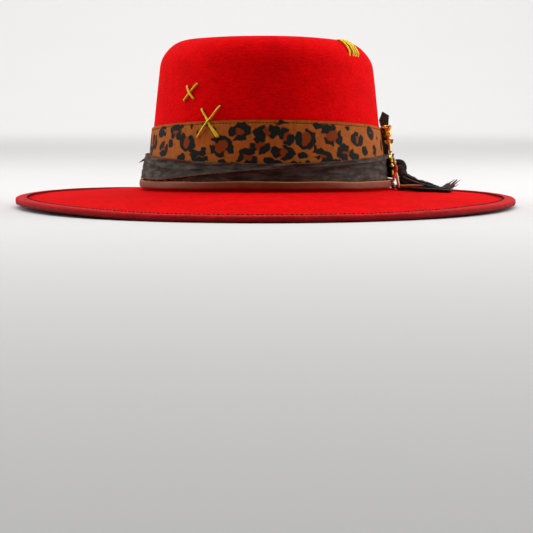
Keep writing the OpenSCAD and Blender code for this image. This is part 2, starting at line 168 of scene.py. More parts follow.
def frontness(facing):
    """One at the middle of the front, falling to nothing at the sides."""
    return max(0.0, -oval(facing, 4.0).y / 103.7) ** 2


def front_lift(facing, out, z):
    """The brim and the crown's foot bow up a little at the front, as on a worn hat, and the
    crown's top has sunk a little towards the wearer's left."""
    bow = 2.9 * frontness(facing) * min(1, max(0, (LEVEL - out) / 74)) * min(1, max(0, (104 - z) / 44))
    off_middle = oval(facing, out).x / 80
    sunk = (4.4 if off_middle > 0 else 2.0) * off_middle**2
    return bow - sunk * min(1, max(0, (z - 88) / 24))


def ease(x):
    """Goes smoothly from nothing at 0 to one at 1."""
    x = min(1.0, max(0.0, x))
    return x * x * (3 - 2 * x)


def on_hat(facing, out, z):
    """A point beside the hat, in metres, from its facing, its distance out and its height. The
    crown is pressed in a little on the wearer's right, and the brim curls up slightly at its sides."""
    x, y = oval(facing, out)
    curl = (1.6 if x > 0 else 2.6) * ease((abs(x) - 60) / 110) * ease((out - 10) / 40)
    pressed = 1.5 * max(0, -x / 85) * ease((z - 12) / 25)
    return Vector((x + pressed, y, z + curl + front_lift(facing, out, z))) * MM


def arc(centre, radius, start, end, steps, first=0):
    return [centre + radius * heading(start + (end - start) * k / steps) for k in range(first, steps + 1)]


def tangent_centre(corner, radius, back, turned):
    """The centre of the arc that rounds a corner, from the way that the line comes in."""
    return corner - radius * math.tan(math.radians(turned / 2)) * back


brim_way, wall_way = heading(180 - SLOPE), heading(90 + LEAN)
BREAK_C = tangent_centre(BREAK, 3.5, brim_way, 90 - SLOPE - LEAN) + 3.5 * heading(90 - SLOPE)
CREST = Vector((BREAK.x - (CROWN_TOP - BREAK.y) * math.tan(math.radians(LEAN)), CROWN_TOP))
SHOULDER_C = tangent_centre(CREST, 22, wall_way, 90 - LEAN) + 22 * heading(180 + LEAN)
SINK = math.degrees(math.acos(1 - 6 / 14))
LIP_C = Vector((SHOULDER_C.x - 6, CROWN_TOP - 7))
FOOT_C = Vector((LIP_C.x - 14 * math.sin(math.radians(SINK)), CROWN_TOP - 6 + 7))


def wall(z):
    """How far out the felt's outer face stands, on the straight part of the crown."""
    return BREAK.x - (z - BREAK.y) * math.tan(math.radians(LEAN))


def felt_line(depth):
    """The felt's face from the brim's edge to the sunk top, at a depth under its outer face."""
    line = [Vector((EDGE, EDGE_TOP - depth)), Vector((90, EDGE_TOP - depth))]
    line += [Vector((LEVEL - 8 * k, EDGE_TOP - depth + 8 * k * math.tan(math.radians(SLOPE)))) for k in range(10)]
    line += arc(BREAK_C, 3.5 + depth, 270 - SLOPE, 180 + LEAN, 7)
    line += [Vector((wall(z) - depth / math.cos(math.radians(LEAN)), z)) for z in range(24, 97, 9)]
    line += arc(SHOULDER_C, 22 - depth, LEAN, 90, 14)
    line += arc(LIP_C, 7 - depth, 90, 90 + SINK, 8)
    return line + arc(FOOT_C, 7 + depth, 270 + SINK, 270, 8, 1)


def new_piece(name, bm, material, replaced=None, body="hat", sharp=40):
    """Makes an object of a finished mesh, rides it on its body and lets it stand for its node."""
    bmesh.ops.recalc_face_normals(bm, faces=bm.faces)
    mesh = bpy.data.meshes.new(name)
    bm.to_mesh(mesh)
    bm.free()
    for polygon in mesh.polygons:
        polygon.use_smooth = True
    mesh.set_sharp_from_angle(angle=math.radians(sharp))
    mesh.materials.append(material)
    piece = bpy.data.objects.new(name, mesh)
    scene.collection.objects.link(piece)
    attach(piece, body)
    if replaced:
        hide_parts(*replaced.split())
    return piece


def wrap(section, start=90.0, sweep=359.6, columns=360, closed=True, shape=None):
    """Rolls a grid up into a section of (out, height) points that runs round the oval, and closes
    its ends. Each point keeps its run and its height as attributes, and shape may move it first."""
    bm = bmesh.new()
    run, rise = bm.verts.layers.float.new("run"), bm.verts.layers.float.new("rise")
    rows = len(section) if closed else len(section) - 1
    bmesh.ops.create_grid(bm, x_segments=columns, y_segments=rows, size=0.5)
    for v in bm.verts:
        out, z = section[round((v.co.y + 0.5) * rows) % len(section)]
        facing = start + sweep * (v.co.x + 0.5)
        v[run], v[rise] = run_at(facing), z
        if shape:
            out, z = shape(out, z, facing, v[run])
        v.co = on_hat(facing, out, z)
    bmesh.ops.remove_doubles(bm, verts=bm.verts, dist=1e-6)
    bmesh.ops.holes_fill(bm, edges=[e for e in bm.edges if e.is_boundary])
    return bm


def uneven(out, z, facing, run):
    """Hand-ironed felt is never quite flat: the brim waves by half a millimetre."""
    spot = Vector((*oval(facing, out), z)) / 60
    wave = noise.noise(spot)
    return (out + 0.25 * wave * (out < 10), z + 0.6 * wave * min(1, max(0, (out - 8) / 40)) * (out < 92))


# Wool felt, brushed: a matt, saturated red. Its colour is painted darker in the hollows of its nap and
# brush streaks and lighter on their ridges, painted shade that follows the bump. The nap is
# drawn at 1.3 mm, coarser than the real fibres, so that it shows.
red_felt, tree, surface, place = begin_material("red_wool_felt", Roughness=0.95, Sheen_Weight=0.22,
                                                Sheen_Roughness=0.4, Sheen_Tint=linear("ff2020"),
                                                Specular_IOR_Level=0.04)
nap = add(tree, "ShaderNodeTexNoise", {"Vector": place, "Scale": 760.0, "Detail": 3.0, "Roughness": 0.65})
blotch = add(tree, "ShaderNodeTexNoise", {"Vector": place, "Scale": 70.0, "Detail": 4.0, "Roughness": 0.6})
brushed = add(tree, "ShaderNodeMapping", {"Vector": place, "Scale": (1.0, 1.0, 3.2)})
streak = add(tree, "ShaderNodeTexNoise", {"Vector": brushed.outputs[0], "Scale": 260.0, "Detail": 2.0})
# Painted shade: the nap's colour runs dark in its hollows and light on its ridges, as its bump does.
shade = add(tree, "ShaderNodeMix", {0: nap.outputs[0], 6: linear("b40002"), 7: linear("f80006")}, data_type="RGBA")
dusk = add(tree, "ShaderNodeMapRange", {"Value": blotch.outputs[0], "From Min": 0.3, "From Max": 0.7,
                                        "To Min": 0.86, "To Max": 1.06})
line_up = add(tree, "ShaderNodeMapRange", {"Value": streak.outputs[0], "From Min": 0.3, "From Max": 0.7,
                                           "To Min": 0.86, "To Max": 1.08})
both = add(tree, "ShaderNodeMath", {0: dusk.outputs[0], 1: line_up.outputs[0]}, operation="MULTIPLY")
tone = add(tree, "ShaderNodeMix", {0: 1.0, 6: shade.outputs[2], 7: both.outputs[0]}, data_type="RGBA",
           blend_type="MULTIPLY")
tree.links.new(tone.outputs[2], surface.inputs["Base Color"])
height = add(tree, "ShaderNodeMath", {0: nap.outputs[0], 1: streak.outputs[0]}, operation="ADD")
bump = add(tree, "ShaderNodeBump", {"Height": height.outputs[0], "Strength": 0.55, "Distance": 0.0007})
tree.links.new(bump.outputs[0], surface.inputs["Normal"])

new_piece("felt", wrap(felt_line(0)[::-1] + felt_line(FELT), sweep=FULL, columns=480, closed=False, shape=uneven),
          red_felt, "felt_body", sharp=60)

# ---- Brim binding ----
# Grosgrain ribbon 19 mm wide, folded over the felt's edge and sewn through both faces close to
# its inner edges. It is duller than the felt, and its fold is slightly worn and uneven.

BIND_IN, BIND_OUT, BIND_TOP = 88.75, 97.25, 4.5


def puckered(out, z, facing, run):
    """The ribbon draws in a little at each stitch, and its fold wanders."""
    edge = max(0, (out - 94) / 3.25)
    wander = noise.noise(Vector((run / 5, 0, z / 3)))
    fold = 0.3 * noise.noise(Vector((run / 1.7, 4, z)))
    side = 1 if z > 2.2 else -1
    pinch = 0.12 * math.cos(run * 2 * math.pi / 3.1) * max(0, 1 - abs(out - BIND_IN) / 3)
    return out + edge * (0.45 * wander + fold), max(0.0, z + side * (pinch + 0.12 * wander * edge))


grosgrain, tree, surface, place = begin_material("grosgrain_ribbon", Roughness=0.85, Specular_IOR_Level=0.15)
run = add(tree, "ShaderNodeAttribute", attribute_name="run").outputs["Fac"]
ribs = add(tree, "ShaderNodeMath", {0: run, 1: 2 * math.pi / 0.9}, operation="MULTIPLY")
ribs = add(tree, "ShaderNodeMath", {0: ribs.outputs[0]}, operation="SINE")
wear = add(tree, "ShaderNodeTexNoise", {"Vector": place, "Scale": 240.0, "Detail": 4.0})
rise = add(tree, "ShaderNodeAttribute", attribute_name="rise").outputs["Fac"]
# Painted shade and light: the ribbon runs from dark red on its underside to bright red on its top face.
painted_underside_shade = add(tree, "ShaderNodeMapRange", {"Value": rise, "From Min": 0.5, "From Max": 4.3})
ribbon = add(tree, "ShaderNodeMix", {0: painted_underside_shade.outputs[0], 6: linear("5e090a"), 7: linear("e0121a")}, data_type="RGBA")
shade = add(tree, "ShaderNodeMix", {0: wear.outputs[0], 6: linear("7c090b"), 7: ribbon.outputs[2]}, data_type="RGBA")
tree.links.new(shade.outputs[2], surface.inputs["Base Color"])
bump = add(tree, "ShaderNodeBump", {"Height": ribs.outputs[0], "Strength": 0.35, "Distance": 0.0001})
fuzz = add(tree, "ShaderNodeBump", {"Height": wear.outputs[0], "Strength": 0.4, "Distance": 0.0005,
                                    "Normal": bump.outputs[0]})
tree.links.new(fuzz.outputs[0], surface.inputs["Normal"])

nose = Vector((BIND_OUT - 1.6, 1.6)), Vector((BIND_OUT - 1.6, BIND_TOP - 1.6))
section = [(BIND_IN, 0), (90.5, 0), (93, 0)] + arc(nose[0], 1.6, 270, 360, 6) + arc(nose[1], 1.6, 0, 90, 6)
section += [(93, BIND_TOP), (90.5, BIND_TOP), (BIND_IN, BIND_TOP), (BIND_IN, 3.6), (96.35, 3.6), (96.35, 0.9)]
section += [(BIND_IN, 0.9)]
binding = new_piece("binding", wrap(section, columns=760, shape=puckered), grosgrain, "brim_binding", sharp=70)

# ---- Binding seam ----
# A row of dark maroon backstitches along the ribbon's inner edge, close to the felt.


def mottled_material(name, dark, light, scale, detail, relief=None, roughness=0.5, **inputs):
    """A material whose colour follows one noise, and whose relief, a (strength, distance), does too."""
    material, tree, surface, place = begin_material(name, **inputs)
    mottle = add(tree, "ShaderNodeTexNoise", {"Vector": place, "Scale": scale, "Detail": detail,
                                              "Roughness": roughness})
    shade = add(tree, "ShaderNodeMix", {0: mottle.outputs[0], 6: linear(dark), 7: linear(light)}, data_type="RGBA")
    tree.links.new(shade.outputs[2], surface.inputs["Base Color"])
    if relief:
        strength, distance = relief
        bump = add(tree, "ShaderNodeBump", {"Height": mottle.outputs[0], "Strength": strength, "Distance": distance})
        tree.links.new(bump.outputs[0], surface.inputs["Normal"])
    return material


def thread_material(name, light, dark):
    """Twisted sewing thread: fine light and dark stripes across each stitch."""
    return mottled_material(name, dark, light, 2600.0, 1.0, (0.5, 0.0001), Roughness=0.75, Specular_IOR_Level=0.1)


def stitches(spots, radius):
    """A row of stitches, one long-nosed grain of thread between each two points."""
    bm = bmesh.new()
    for start, end in spots:
        way = end - start
        turn = way.to_track_quat("Z", "Y").to_matrix().to_4x4()
        move = Matrix.Translation((start + end) / 2) @ turn
        grain = bmesh.ops.create_icosphere(bm, subdivisions=1, radius=1)["verts"]
        bmesh.ops.scale(bm, verts=grain, vec=(radius * MM, radius * MM, way.length * 0.56))
        bmesh.ops.transform(bm, matrix=move, verts=grain)
    return bm


def facings(out, length):
    """Facings that step round the oval by about one length each."""
    steps = round(2 * run_at(89.999, out) / length)
    ends, facing = [], -90.0
    for k in range(steps + 1):
        ends.append(facing)
        turned = abs((facing + 180) % 360 - 180)
        tight = 90 - END_HALF < turned < 90 + END_HALF
        facing += math.degrees(2 * run_at(89.999, out) / steps / ((END_R if tight else SIDE_R) + out))
    return ends


def stitch_row(out, length, gap, radius, lies, ends=None):
    """Stitches right round the hat: lies gives the (out, height) of each start, ends of each end."""
    turns = facings(out, length)
    return stitches([(on_hat(a, *lies(a)), on_hat(b - gap, *(ends or lies)(b))) for a, b in zip(turns, turns[1:])],
                    radius)


maroon = thread_material("maroon_thread", "2a0608", "0c0102")
new_piece("binding_seam", stitch_row(88.3, 3.1, 0.2, 0.6, lambda facing: (88.9, BIND_TOP),
                                     lambda facing: (89.1, BIND_TOP)), maroon, "binding_thread")

# ---- Leopard band ----
# A strip of suede cloth printed with leopard spots, pulled round the crown, with its top edge
# turned under and sewn. The spots at the front are listed one by one, and the rest fall at random.

BAND_LOW, BAND_TALL, BAND_T = 15.7, 55, 1.2
SEWN = 0.15  # what two pieces that are sewn together keep between them
HEM = 1.9  # how far the sewing lies below the band's top edge
rng = random.Random(7)


def band_top(facing):
    """The band stands taller at the front and lower at the back; the lift is taken off again."""
    top = 55.05 - 0.0772 * oval(facing, 1.0).y
    return top - front_lift(facing, 1, top)


# Each spot is its place (run, height), its half width and half height, its tilt, and the
# directions in degrees in which its dark ring is broken.
SPOTS = [
    (-18, 55, 7.5, 5.3, 0, (225,)), (1, 55, 7.5, 4.6, 0, (275, 90)), (14, 52, 4.7, 5.2, 20, (20, 200)),
    (28, 50, 6.8, 7.3, -35, (150,)), (49, 52, 9.0, 7.0, -15, (60, 300, 200)), (75, 49, 6.5, 4.8, 0, (60,)),
    (96, 53, 5.0, 3.0, 0, ()), (122, 44, 4.5, 4.6, 10, (90,)), (101, 41, 4.0, 4.2, 0, (180,)),
    (84, 41, 4.5, 3.6, -10, ()), (61, 40, 8.5, 4.2, -10, (300, 60)), (41, 38, 6.8, 3.6, -15, (240, 180)),
    (25, 39, 3.6, 2.4, 0, ()), (12, 41, 6.9, 5.0, 0, (110, 240)), (2, 36, 3.9, 2.4, 0, ()),
    (-4, 46, 6.3, 5.0, 0, (30, 150, 250)), (-12, 38, 6.3, 5.0, -20, (40, 250)), (-31, 45, 8.8, 7.3, 10, (150, 290)),
    (-45, 42, 2.5, 2.8, 20, ()), (-61, 47, 7.5, 6.2, -20, (110,)), (-49, 38, 5.6, 3.0, 0, (20,)),
    (-75, 54, 6.8, 4.6, 0, (270,)), (-96, 54, 5.4, 3.2, 15, (0,)), (-81, 46, 3.6, 3.4, 0, ()),
    (-92, 42, 7.0, 4.0, 0, (200, 60)), (-113, 47, 6.5, 5.2, 0, (90,)), (-57, 58, 1.8, 1.3, 30, ()),
    (-51, 54, 1.7, 1.3, 30, ()), (-37, 57, 1.6, 1.2, 0, ()), (-19, 36, 1.4, 1.2, 0, ()), (110, 49, 2.0, 1.6, 0, ()),
    (-44, 60, 3.6, 1.6, 0, ()), (-66, 37, 4.4, 3.4, 0, ()), (-30, 34, 4.0, 2.4, 0, ()), (11, 61, 4.4, 1.5, 0, ()),
    (38, 59, 4.4, 1.8, 0, ()), (64, 57, 3.0, 1.6, 0, ()), (20, 33, 4.0, 2.0, 0, ()), (52, 34, 4.4, 2.2, 0, ()),
    (-68, 58, 2.6, 1.6, 0, ()), (35, 43, 1.8, 2.4, 30, ()), (-22, 55, 1.6, 2.2, 20, ()), (72, 37, 4.2, 2.4, 0, ()),
]
for column in range(38):
    for row in range(4):
        spot_run = column * 15.5 - 293 + 7.5 * (row % 2) + rng.uniform(-2, 2)
        if row > 1 and -121 < spot_run < 129:
            continue
        SPOTS.append((spot_run, 18 + row * 10.5 + rng.uniform(-2, 2), rng.uniform(4, 7.5), rng.uniform(3.6, 6),
                      rng.uniform(-40, 40), tuple(rng.uniform(0, 360) for _ in range(rng.randint(0, 3)))))


def spot_marks(run, z):
    """How deep a point lies in the dark ring, and in the rust middle, of the nearest spot."""
    wobble = 1.6 * noise.noise(Vector((run / 3.4, z / 3.4, 3))), 1.6 * noise.noise(Vector((run / 3.4, z / 3.4, 9)))
    dark = rust = -1.0
    for x, y, wide, high, tilt, gaps in SPOTS:
        dx, dy = run + wobble[0] - x, z + wobble[1] - y
        if abs(dx) > 14 or abs(dy) > 14:
            continue
        c, s = heading(tilt)
        u, v = (dx * c + dy * s) / wide, (dy * c - dx * s) / high
        far, way = math.hypot(u, v), math.degrees(math.atan2(v, u))
        size = min(wide, high)
        thick = 1.9 + 0.6 * math.sin(math.radians(way * 2 + x * 40))
        ring = thick - abs(far - 0.78) * size if wide > 4.6 else (1 - far) * size
        for gap in gaps:
            near = abs((way - gap + 180) % 360 - 180)
            ring = min(ring, (near - 12) * 0.12)
        dark, rust = max(dark, ring), max(rust, (0.72 - far) * size)
    return max(-1, min(1, dark)), max(-1, min(1, rust))


suede, tree, surface, place = begin_material("printed_suede_cloth", Roughness=0.9, Sheen_Weight=0.03,
                                             Specular_IOR_Level=0.08)
ink = add(tree, "ShaderNodeAttribute", attribute_name="dark").outputs["Fac"]
centre = add(tree, "ShaderNodeAttribute", attribute_name="rust").outputs["Fac"]
grain = add(tree, "ShaderNodeTexNoise", {"Vector": place, "Scale": 1100.0, "Detail": 3.0})
cloud = add(tree, "ShaderNodeTexNoise", {"Vector": place, "Scale": 260.0, "Detail": 6.0, "Roughness": 0.7})
ragged = add(tree, "ShaderNodeMath", {0: grain.outputs[0], 1: 0.9, 2: -0.45}, operation="MULTIPLY_ADD")
ink_edge = add(tree, "ShaderNodeMath", {0: ink, 1: ragged.outputs[0]}, operation="ADD")
ink_mask = add(tree, "ShaderNodeMapRange", {"Value": ink_edge.outputs[0], "From Min": -0.12, "From Max": 0.3})
rust_edge = add(tree, "ShaderNodeMath", {0: centre, 1: ragged.outputs[0]}, operation="ADD")
rust_mask = add(tree, "ShaderNodeMapRange", {"Value": rust_edge.outputs[0], "From Min": -0.7, "From Max": 0.9})
tan = add(tree, "ShaderNodeMix", {0: cloud.outputs[0], 6: linear("6e340f"), 7: linear("c0702a")}, data_type="RGBA")
rusty = add(tree, "ShaderNodeMix", {0: rust_mask.outputs[0], 6: tan.outputs[2], 7: linear("7d3610")}, data_type="RGBA")
spotted = add(tree, "ShaderNodeMix", {0: ink_mask.outputs[0], 6: rusty.outputs[2], 7: linear("1a211d")},
              data_type="RGBA")
tree.links.new(spotted.outputs[2], surface.inputs["Base Color"])
bump = add(tree, "ShaderNodeBump", {"Height": grain.outputs[0], "Strength": 0.3, "Distance": 0.0003})
tree.links.new(bump.outputs[0], surface.inputs["Normal"])


def band_shape(out, z, facing, run):
    """The band follows the crown, its top edge tilts, and it ripples a little between stitches."""
    top = band_top(facing)
    share = (z - BAND_LOW) / (BAND_TALL - BAND_LOW)
    height = BAND_LOW + share * (top - BAND_LOW)
    ripple = 0.12 * noise.noise(Vector((run / 14, height / 25, 1))) + 0.1
    fold = 0.35 * max(0, 1 - abs(top - HEM - height) / 0.7)
    return wall(height) + SEWN + out + (ripple - fold) * (out > 0.5), height


rows = 62
section = [(0.0, BAND_LOW), (0.0, 35.0), (0.0, 54.8)]
section += [(BAND_T, BAND_TALL - (BAND_TALL - BAND_LOW) * k / rows) for k in range(rows + 1)]
band_mesh = wrap(section, columns=640, shape=band_shape)
run_layer = band_mesh.verts.layers.float["run"]
dark_layer, rust_layer = band_mesh.verts.layers.float.new("dark"), band_mesh.verts.layers.float.new("rust")
for v in band_mesh.verts:
    v[dark_layer], v[rust_layer] = spot_marks(v[run_layer], v.co.z / MM)
band = new_piece("leopard_band", band_mesh, suede, "printed_band", sharp=60)

rust_thread = thread_material("rust_thread", "4a210e", "200c05")
new_piece("band_hem_stitches", stitch_row(1.5, 2.6, 0.35, 0.32, lambda facing: (
    wall(band_top(facing) - HEM) + BAND_T, band_top(facing) - HEM)), rust_thread, "band_thread")

# ---- Scarf ----
# A strip of thin dark cotton, torn from a larger cloth, goes twice round the band. The outer
# turn narrows at the front, where it is folded under, so that the inner turn shows below it.

SCARF_LOW, SCARF_W = 19.55, 15.0


def band_out(z):
    return wall(z) + SEWN + BAND_T


def creases(facing, run, z):
    """Folds that run along the pulled cloth, in millimetres, the same for both turns."""
    x, y = oval(facing, 4)
    slant = 1.6 * math.sin(math.radians(2 * facing))
    long_fold = 1 - 2.4 * abs(noise.noise(Vector((x / 40, y / 40, z / 4.2 + slant))))
    cross_fold = noise.noise(Vector((x / 11, y / 11, z / 5.5 + 5)))
    torn_ridge = 0.9 * math.exp(-(((z - 33.5 + 0.11 * (run + 125)) / 0.6) ** 2)) * ease((run + 140) / 12) * ease(
        (-60 - run) / 25)
    return max(-0.5, 0.75 * long_fold + 0.6 * cross_fold) + torn_ridge


def scarf_shape(turn):
    """How one turn of the scarf lies: it dips at the front, and its torn edges are ragged."""

    def shape(out, z, facing, run):
        share = (z - SCARF_LOW) / SCARF_W
        front = frontness(facing)
        top = SCARF_LOW + SCARF_W + 2.6 - 6.3 * front
        x, y = oval(facing, 4)
        low = SCARF_LOW - 0.8 * front + 1.3 * max(0, -x / 120)
        if turn and run < 146:
            low += (top - low - 2.6) * ease((run + 95) / 118) * ease((146 - run) / 8)
        height = low + (top - low) * share
        height += 0.3 * noise.noise(Vector((x / 1.3, y / 1.3, 3 * turn))) * (share < 0.03 or share > 0.97)
        lies = band_out(height) + 0.15 + turn * 1.45 + creases(facing, run, height) * (out > 0.5 or turn) + 0.35 * turn
        curl = turn * 0.9 * math.exp(-share * 9) * ease((run + 110) / 30) * (run < 100)
        curl += 4.2 * turn * math.exp(-(((run - 146) / 6.5) ** 2))
        fine = 0.16 * noise.noise(Vector((x / 2.6, y / 2.6, height / 1.8 + turn))) * (out > 0.5)
        return lies + min(out, 0.9) + curl + fine, height

    return shape


# Washed cotton in a dark grey-brown: the weave shows as fine cross lines, the fading as long
# paler streaks, and the torn edges have kept a rust-brown dye.
charcoal, tree, surface, place = begin_material("washed_charcoal_cotton", Roughness=0.75,
                                                Specular_IOR_Level=0.12)
run = add(tree, "ShaderNodeAttribute", attribute_name="run").outputs["Fac"]
rise = add(tree, "ShaderNodeAttribute", attribute_name="rise").outputs["Fac"]
warp = add(tree, "ShaderNodeMath", {0: run, 1: 2 * math.pi / 0.8}, operation="MULTIPLY")
warp = add(tree, "ShaderNodeMath", {0: warp.outputs[0]}, operation="SINE")
weft = add(tree, "ShaderNodeMath", {0: rise, 1: 2 * math.pi / 0.8}, operation="MULTIPLY")
weft = add(tree, "ShaderNodeMath", {0: weft.outputs[0]}, operation="SINE")
weave = add(tree, "ShaderNodeMath", {0: warp.outputs[0], 1: weft.outputs[0]}, operation="MULTIPLY")
stretched = add(tree, "ShaderNodeMapping", {"Vector": place, "Scale": (90.0, 90.0, 350.0)})
fade = add(tree, "ShaderNodeTexNoise", {"Vector": stretched.outputs[0], "Scale": 1.0, "Detail": 4.0})
fade_mask = add(tree, "ShaderNodeMapRange", {"Value": fade.outputs[0], "From Min": 0.4, "From Max": 0.72})
cloth = add(tree, "ShaderNodeMix", {0: fade_mask.outputs[0], 6: linear("2b2822"), 7: linear("575248")},
            data_type="RGBA")
middle = add(tree, "ShaderNodeMath", {0: rise, 1: SCARF_LOW + SCARF_W / 2}, operation="SUBTRACT")
middle = add(tree, "ShaderNodeMath", {0: middle.outputs[0]}, operation="ABSOLUTE")
torn = add(tree, "ShaderNodeMapRange", {"Value": middle.outputs[0], "From Min": 6.7, "From Max": 7.3})
worn = add(tree, "ShaderNodeMix", {0: torn.outputs[0], 6: cloth.outputs[2], 7: linear("63301c")}, data_type="RGBA")
tree.links.new(worn.outputs[2], surface.inputs["Base Color"])
bump = add(tree, "ShaderNodeBump", {"Height": weave.outputs[0], "Strength": 0.3, "Distance": 0.0001})
tree.links.new(bump.outputs[0], surface.inputs["Normal"])

rows = 24
section = [(0, SCARF_LOW), (0, SCARF_LOW + SCARF_W / 2), (0, SCARF_LOW + SCARF_W)]
section += [(1.2, SCARF_LOW + SCARF_W * (1 - k / rows)) for k in range(rows + 1)]
scarf_under = new_piece("inner_turn", wrap(section, start=-2.0, sweep=359.4, columns=1000,
                        shape=scarf_shape(0)), charcoal, "scarf_inner_turn", sharp=80)


def along(frames, section, bm=None):
    """Draws a closed section of (a, b) points through frames of (place, side, up), and ends it."""
    bm = bm or bmesh.new()
    place, side, up = frames[0]
    ring = [bm.verts.new(place + a * side + b * up) for a, b in section]
    edges = [bm.edges.new(pair) for pair in zip(ring, ring[1:] + ring[:1])]
    drawn = list(edges)
    for place, side, up in frames[1:]:
        grown = bmesh.ops.extrude_edge_only(bm, edges=edges)["geom"]
        fresh = {g for g in grown if isinstance(g, bmesh.types.BMVert)}
        ring = [next(e.other_vert(v) for e in v.link_edges if e.other_vert(v) in fresh) for v in ring]
        for v, (a, b) in zip(ring, section):
            v.co = place + a * side + b * up
        edges = [bm.edges.get(pair) for pair in zip(ring, ring[1:] + ring[:1])]
    bmesh.ops.holes_fill(bm, edges=drawn + edges)
    return bm


def curve(points, steps):
    """A smooth line through points: each is a Vector, steps apart between each two."""
    line = []
    for k in range(len(points) - 1):
        p = [points[max(0, min(len(points) - 1, k + j))] for j in (-1, 0, 1, 2)]
        for s in range(steps):
            t = s / steps
            line.append(0.5 * (2 * p[1] + (p[2] - p[0]) * t + (2 * p[0] - 5 * p[1] + 4 * p[2] - p[3]) * t * t
                               + (3 * p[1] - p[0] - 3 * p[2] + p[3]) * t ** 3))
    return line + [points[-1]]


def frames_on(line, upward=Vector((0, 0, 1))):
    """The place, the side and the up direction at each point of a line."""
    frames = []
    for k, point in enumerate(line):
        way = (line[min(k + 1, len(line) - 1)] - line[max(k - 1, 0)]).normalized()
        side = way.cross(upward).normalized()
        frames.append((point, side, side.cross(way)))
    return frames


def tube(points, radii, sides=10, steps=5, bm=None, upward=Vector((0, 0, 1))):
    """A round rod through points, with a radius at each one, rounded off at both ends."""
    line = curve(points, steps)
    wide = curve([Vector((r, 0, 0)) for r in radii], steps)
    frames = [(p, side * r.x, up * r.x) for (p, side, up), r in zip(frames_on(line, upward), wide)]
    ends = []
    for (place, side, up), inner in ((frames[0], frames[1][0]), (frames[-1], frames[-2][0])):
        way = (place - inner).normalized() * side.length
        ends.append([(place + way * math.sin(a), side * math.cos(a), up * math.cos(a)) for a in (0.5, 1.0, 1.4)])
    round_section = [(math.cos(2 * math.pi * k / sides), math.sin(2 * math.pi * k / sides)) for k in range(sides)]
    return along(ends[0][::-1] + frames + ends[1], round_section, bm)


outer_turn = wrap(section, start=-2.4, sweep=359.2, columns=1000, shape=scarf_shape(1))
# Loose threads hang from its torn lower edge, and one shred stands off at the wearer's right.
loose = bmesh.new()
for k in range(150):
    facing = -100 + rng.uniform(-75, 60)
    low = scarf_shape(1)(1.2, SCARF_LOW, facing, run_at(facing))
    root = on_hat(facing, low[0] - 0.2, low[1] + 0.2)
    tip = on_hat(facing + rng.uniform(-1, 1), low[0] + rng.uniform(0, 0.8), low[1] - rng.uniform(0.3, 1.9))
    tube([root, (root + tip) / 2 + Vector((0, -0.0002, 0)), tip], [0.00009, 0.00008, 0.00004], 4, 1, loose)
shred = [on_hat(180, 3.0, 32.6), on_hat(181, 5.6, 33.2), on_hat(182, 8.0, 32.2), on_hat(183, 10.6, 30.6)]
shred_frames = [(p, side * w * MM, up * w * MM) for (p, side, up), w in
                zip(frames_on(curve(shred, 3)), (3.0, 2.9, 2.7, 2.4, 2.0, 1.6, 1.2, 0.8, 0.3, 0.1))]
along(shred_frames, [(-1, -0.2), (0, 0.15), (1, -0.1), (0.9, 0.2), (0, 0.5), (-0.9, 0.15)], loose)
loose_threads = new_piece("scarf_loose_threads", loose, charcoal, sharp=80)
scarf_over = new_piece("outer_turn", outer_turn, charcoal, "scarf_outer_turn", sharp=80)

# ---- Scarf knot ----
# The same strip is tied here in one flat knot. Its folds run across the knot, and a band of
# cloth crosses it from the top to the lower right.

# The same cotton where it has kept its black: matt, with a soft mottle where the dye has washed.
black_cloth = mottled_material("washed_black_cotton", "100e0e", "4a4746", 420.0, 5.0, (0.5, 0.0004), 0.6,
                               Roughness=0.75, Sheen_Weight=0.08, Specular_IOR_Level=0.2)


def frame_at(facing, out, z, lean=0.0):
    """The placing of a small part's own frame: x points out from the crown, lengths are in mm."""
    return (Matrix.Translation(Vector((*oval(facing, out), z)) * MM) @ Matrix.Rotation(math.radians(facing), 4, "Z")
            @ Matrix.Rotation(math.radians(-lean), 4, "Y") @ Matrix.Scale(MM, 4))


def ring_band(radii, tilt, width, thick, pleats, seed, bm):
    """A pleated band of cloth right round an oval lump: radii across and up, tilted about x."""
    turn = Matrix.Rotation(math.radians(tilt), 3, "X")
    frames = []
    for k in range(49):
        a = 2 * math.pi * k / 48.001
        place = turn @ Vector((radii[0] * math.cos(a), 0, radii[1] * math.sin(a)))
        side = turn @ Vector((0, 1, 0))
        up = turn @ Vector((math.cos(a), 0, math.sin(a)))
        swell = 1 + 0.15 * noise.noise(Vector((k / 9, seed, 0)))
        frames.append((place, side * width / 2 * swell, up * thick))
    section = []
    for k in range(pleats * 4 + 1):
        a = -1 + 2 * k / (pleats * 4)
        section.append((a, 0.55 + 0.35 * math.cos(k * math.pi / 2) - 0.5 * a * a))
    return along(frames, section + [(0.9, -0.6), (0, -0.4), (-0.9, -0.6)], bm)


knot = bmesh.new()
lump = bmesh.ops.create_uvsphere(knot, u_segments=56, v_segments=40, radius=1)["verts"]
bmesh.ops.scale(knot, verts=lump, vec=(5.3, 5.4, 5.0))
for v in lump:
    fold = 1 - 3 * abs(noise.noise(Vector((v.co.x / 5, v.co.y / 6 + v.co.z / 3.4, v.co.x / 7))))
    v.co += v.co.normalized() * 0.9 * fold
ring_band((5.5, 5.6), 35, 5.0, 1.0, 4, 1, knot)
ring_band((5.6, 5.3), -55, 4.0, 1.0, 3, 3, knot)
ring_band((5.2, 5.9), 80, 3.4, 0.9, 3, 6, knot)
bmesh.ops.transform(knot, matrix=frame_at(-2.9, 13.2, 27.3), verts=knot.verts)
tied_knot = new_piece("tied_knot", knot, black_cloth, "scarf_knot", sharp=60)

# ---- Scarf tails ----
# Below the knot the two ends of the strip lie on the brim, gathered into pleats. The lower one
# is longer and flatter, and its tip has come apart into a tuft of loose grey threads.


def on_brim(direction, out, clear):
    """A point over the brim, with a clearance above its upper face."""
    return on_hat(direction, out, EDGE_TOP + max(0.0, LEVEL - out) * math.tan(math.radians(SLOPE)) + clear)


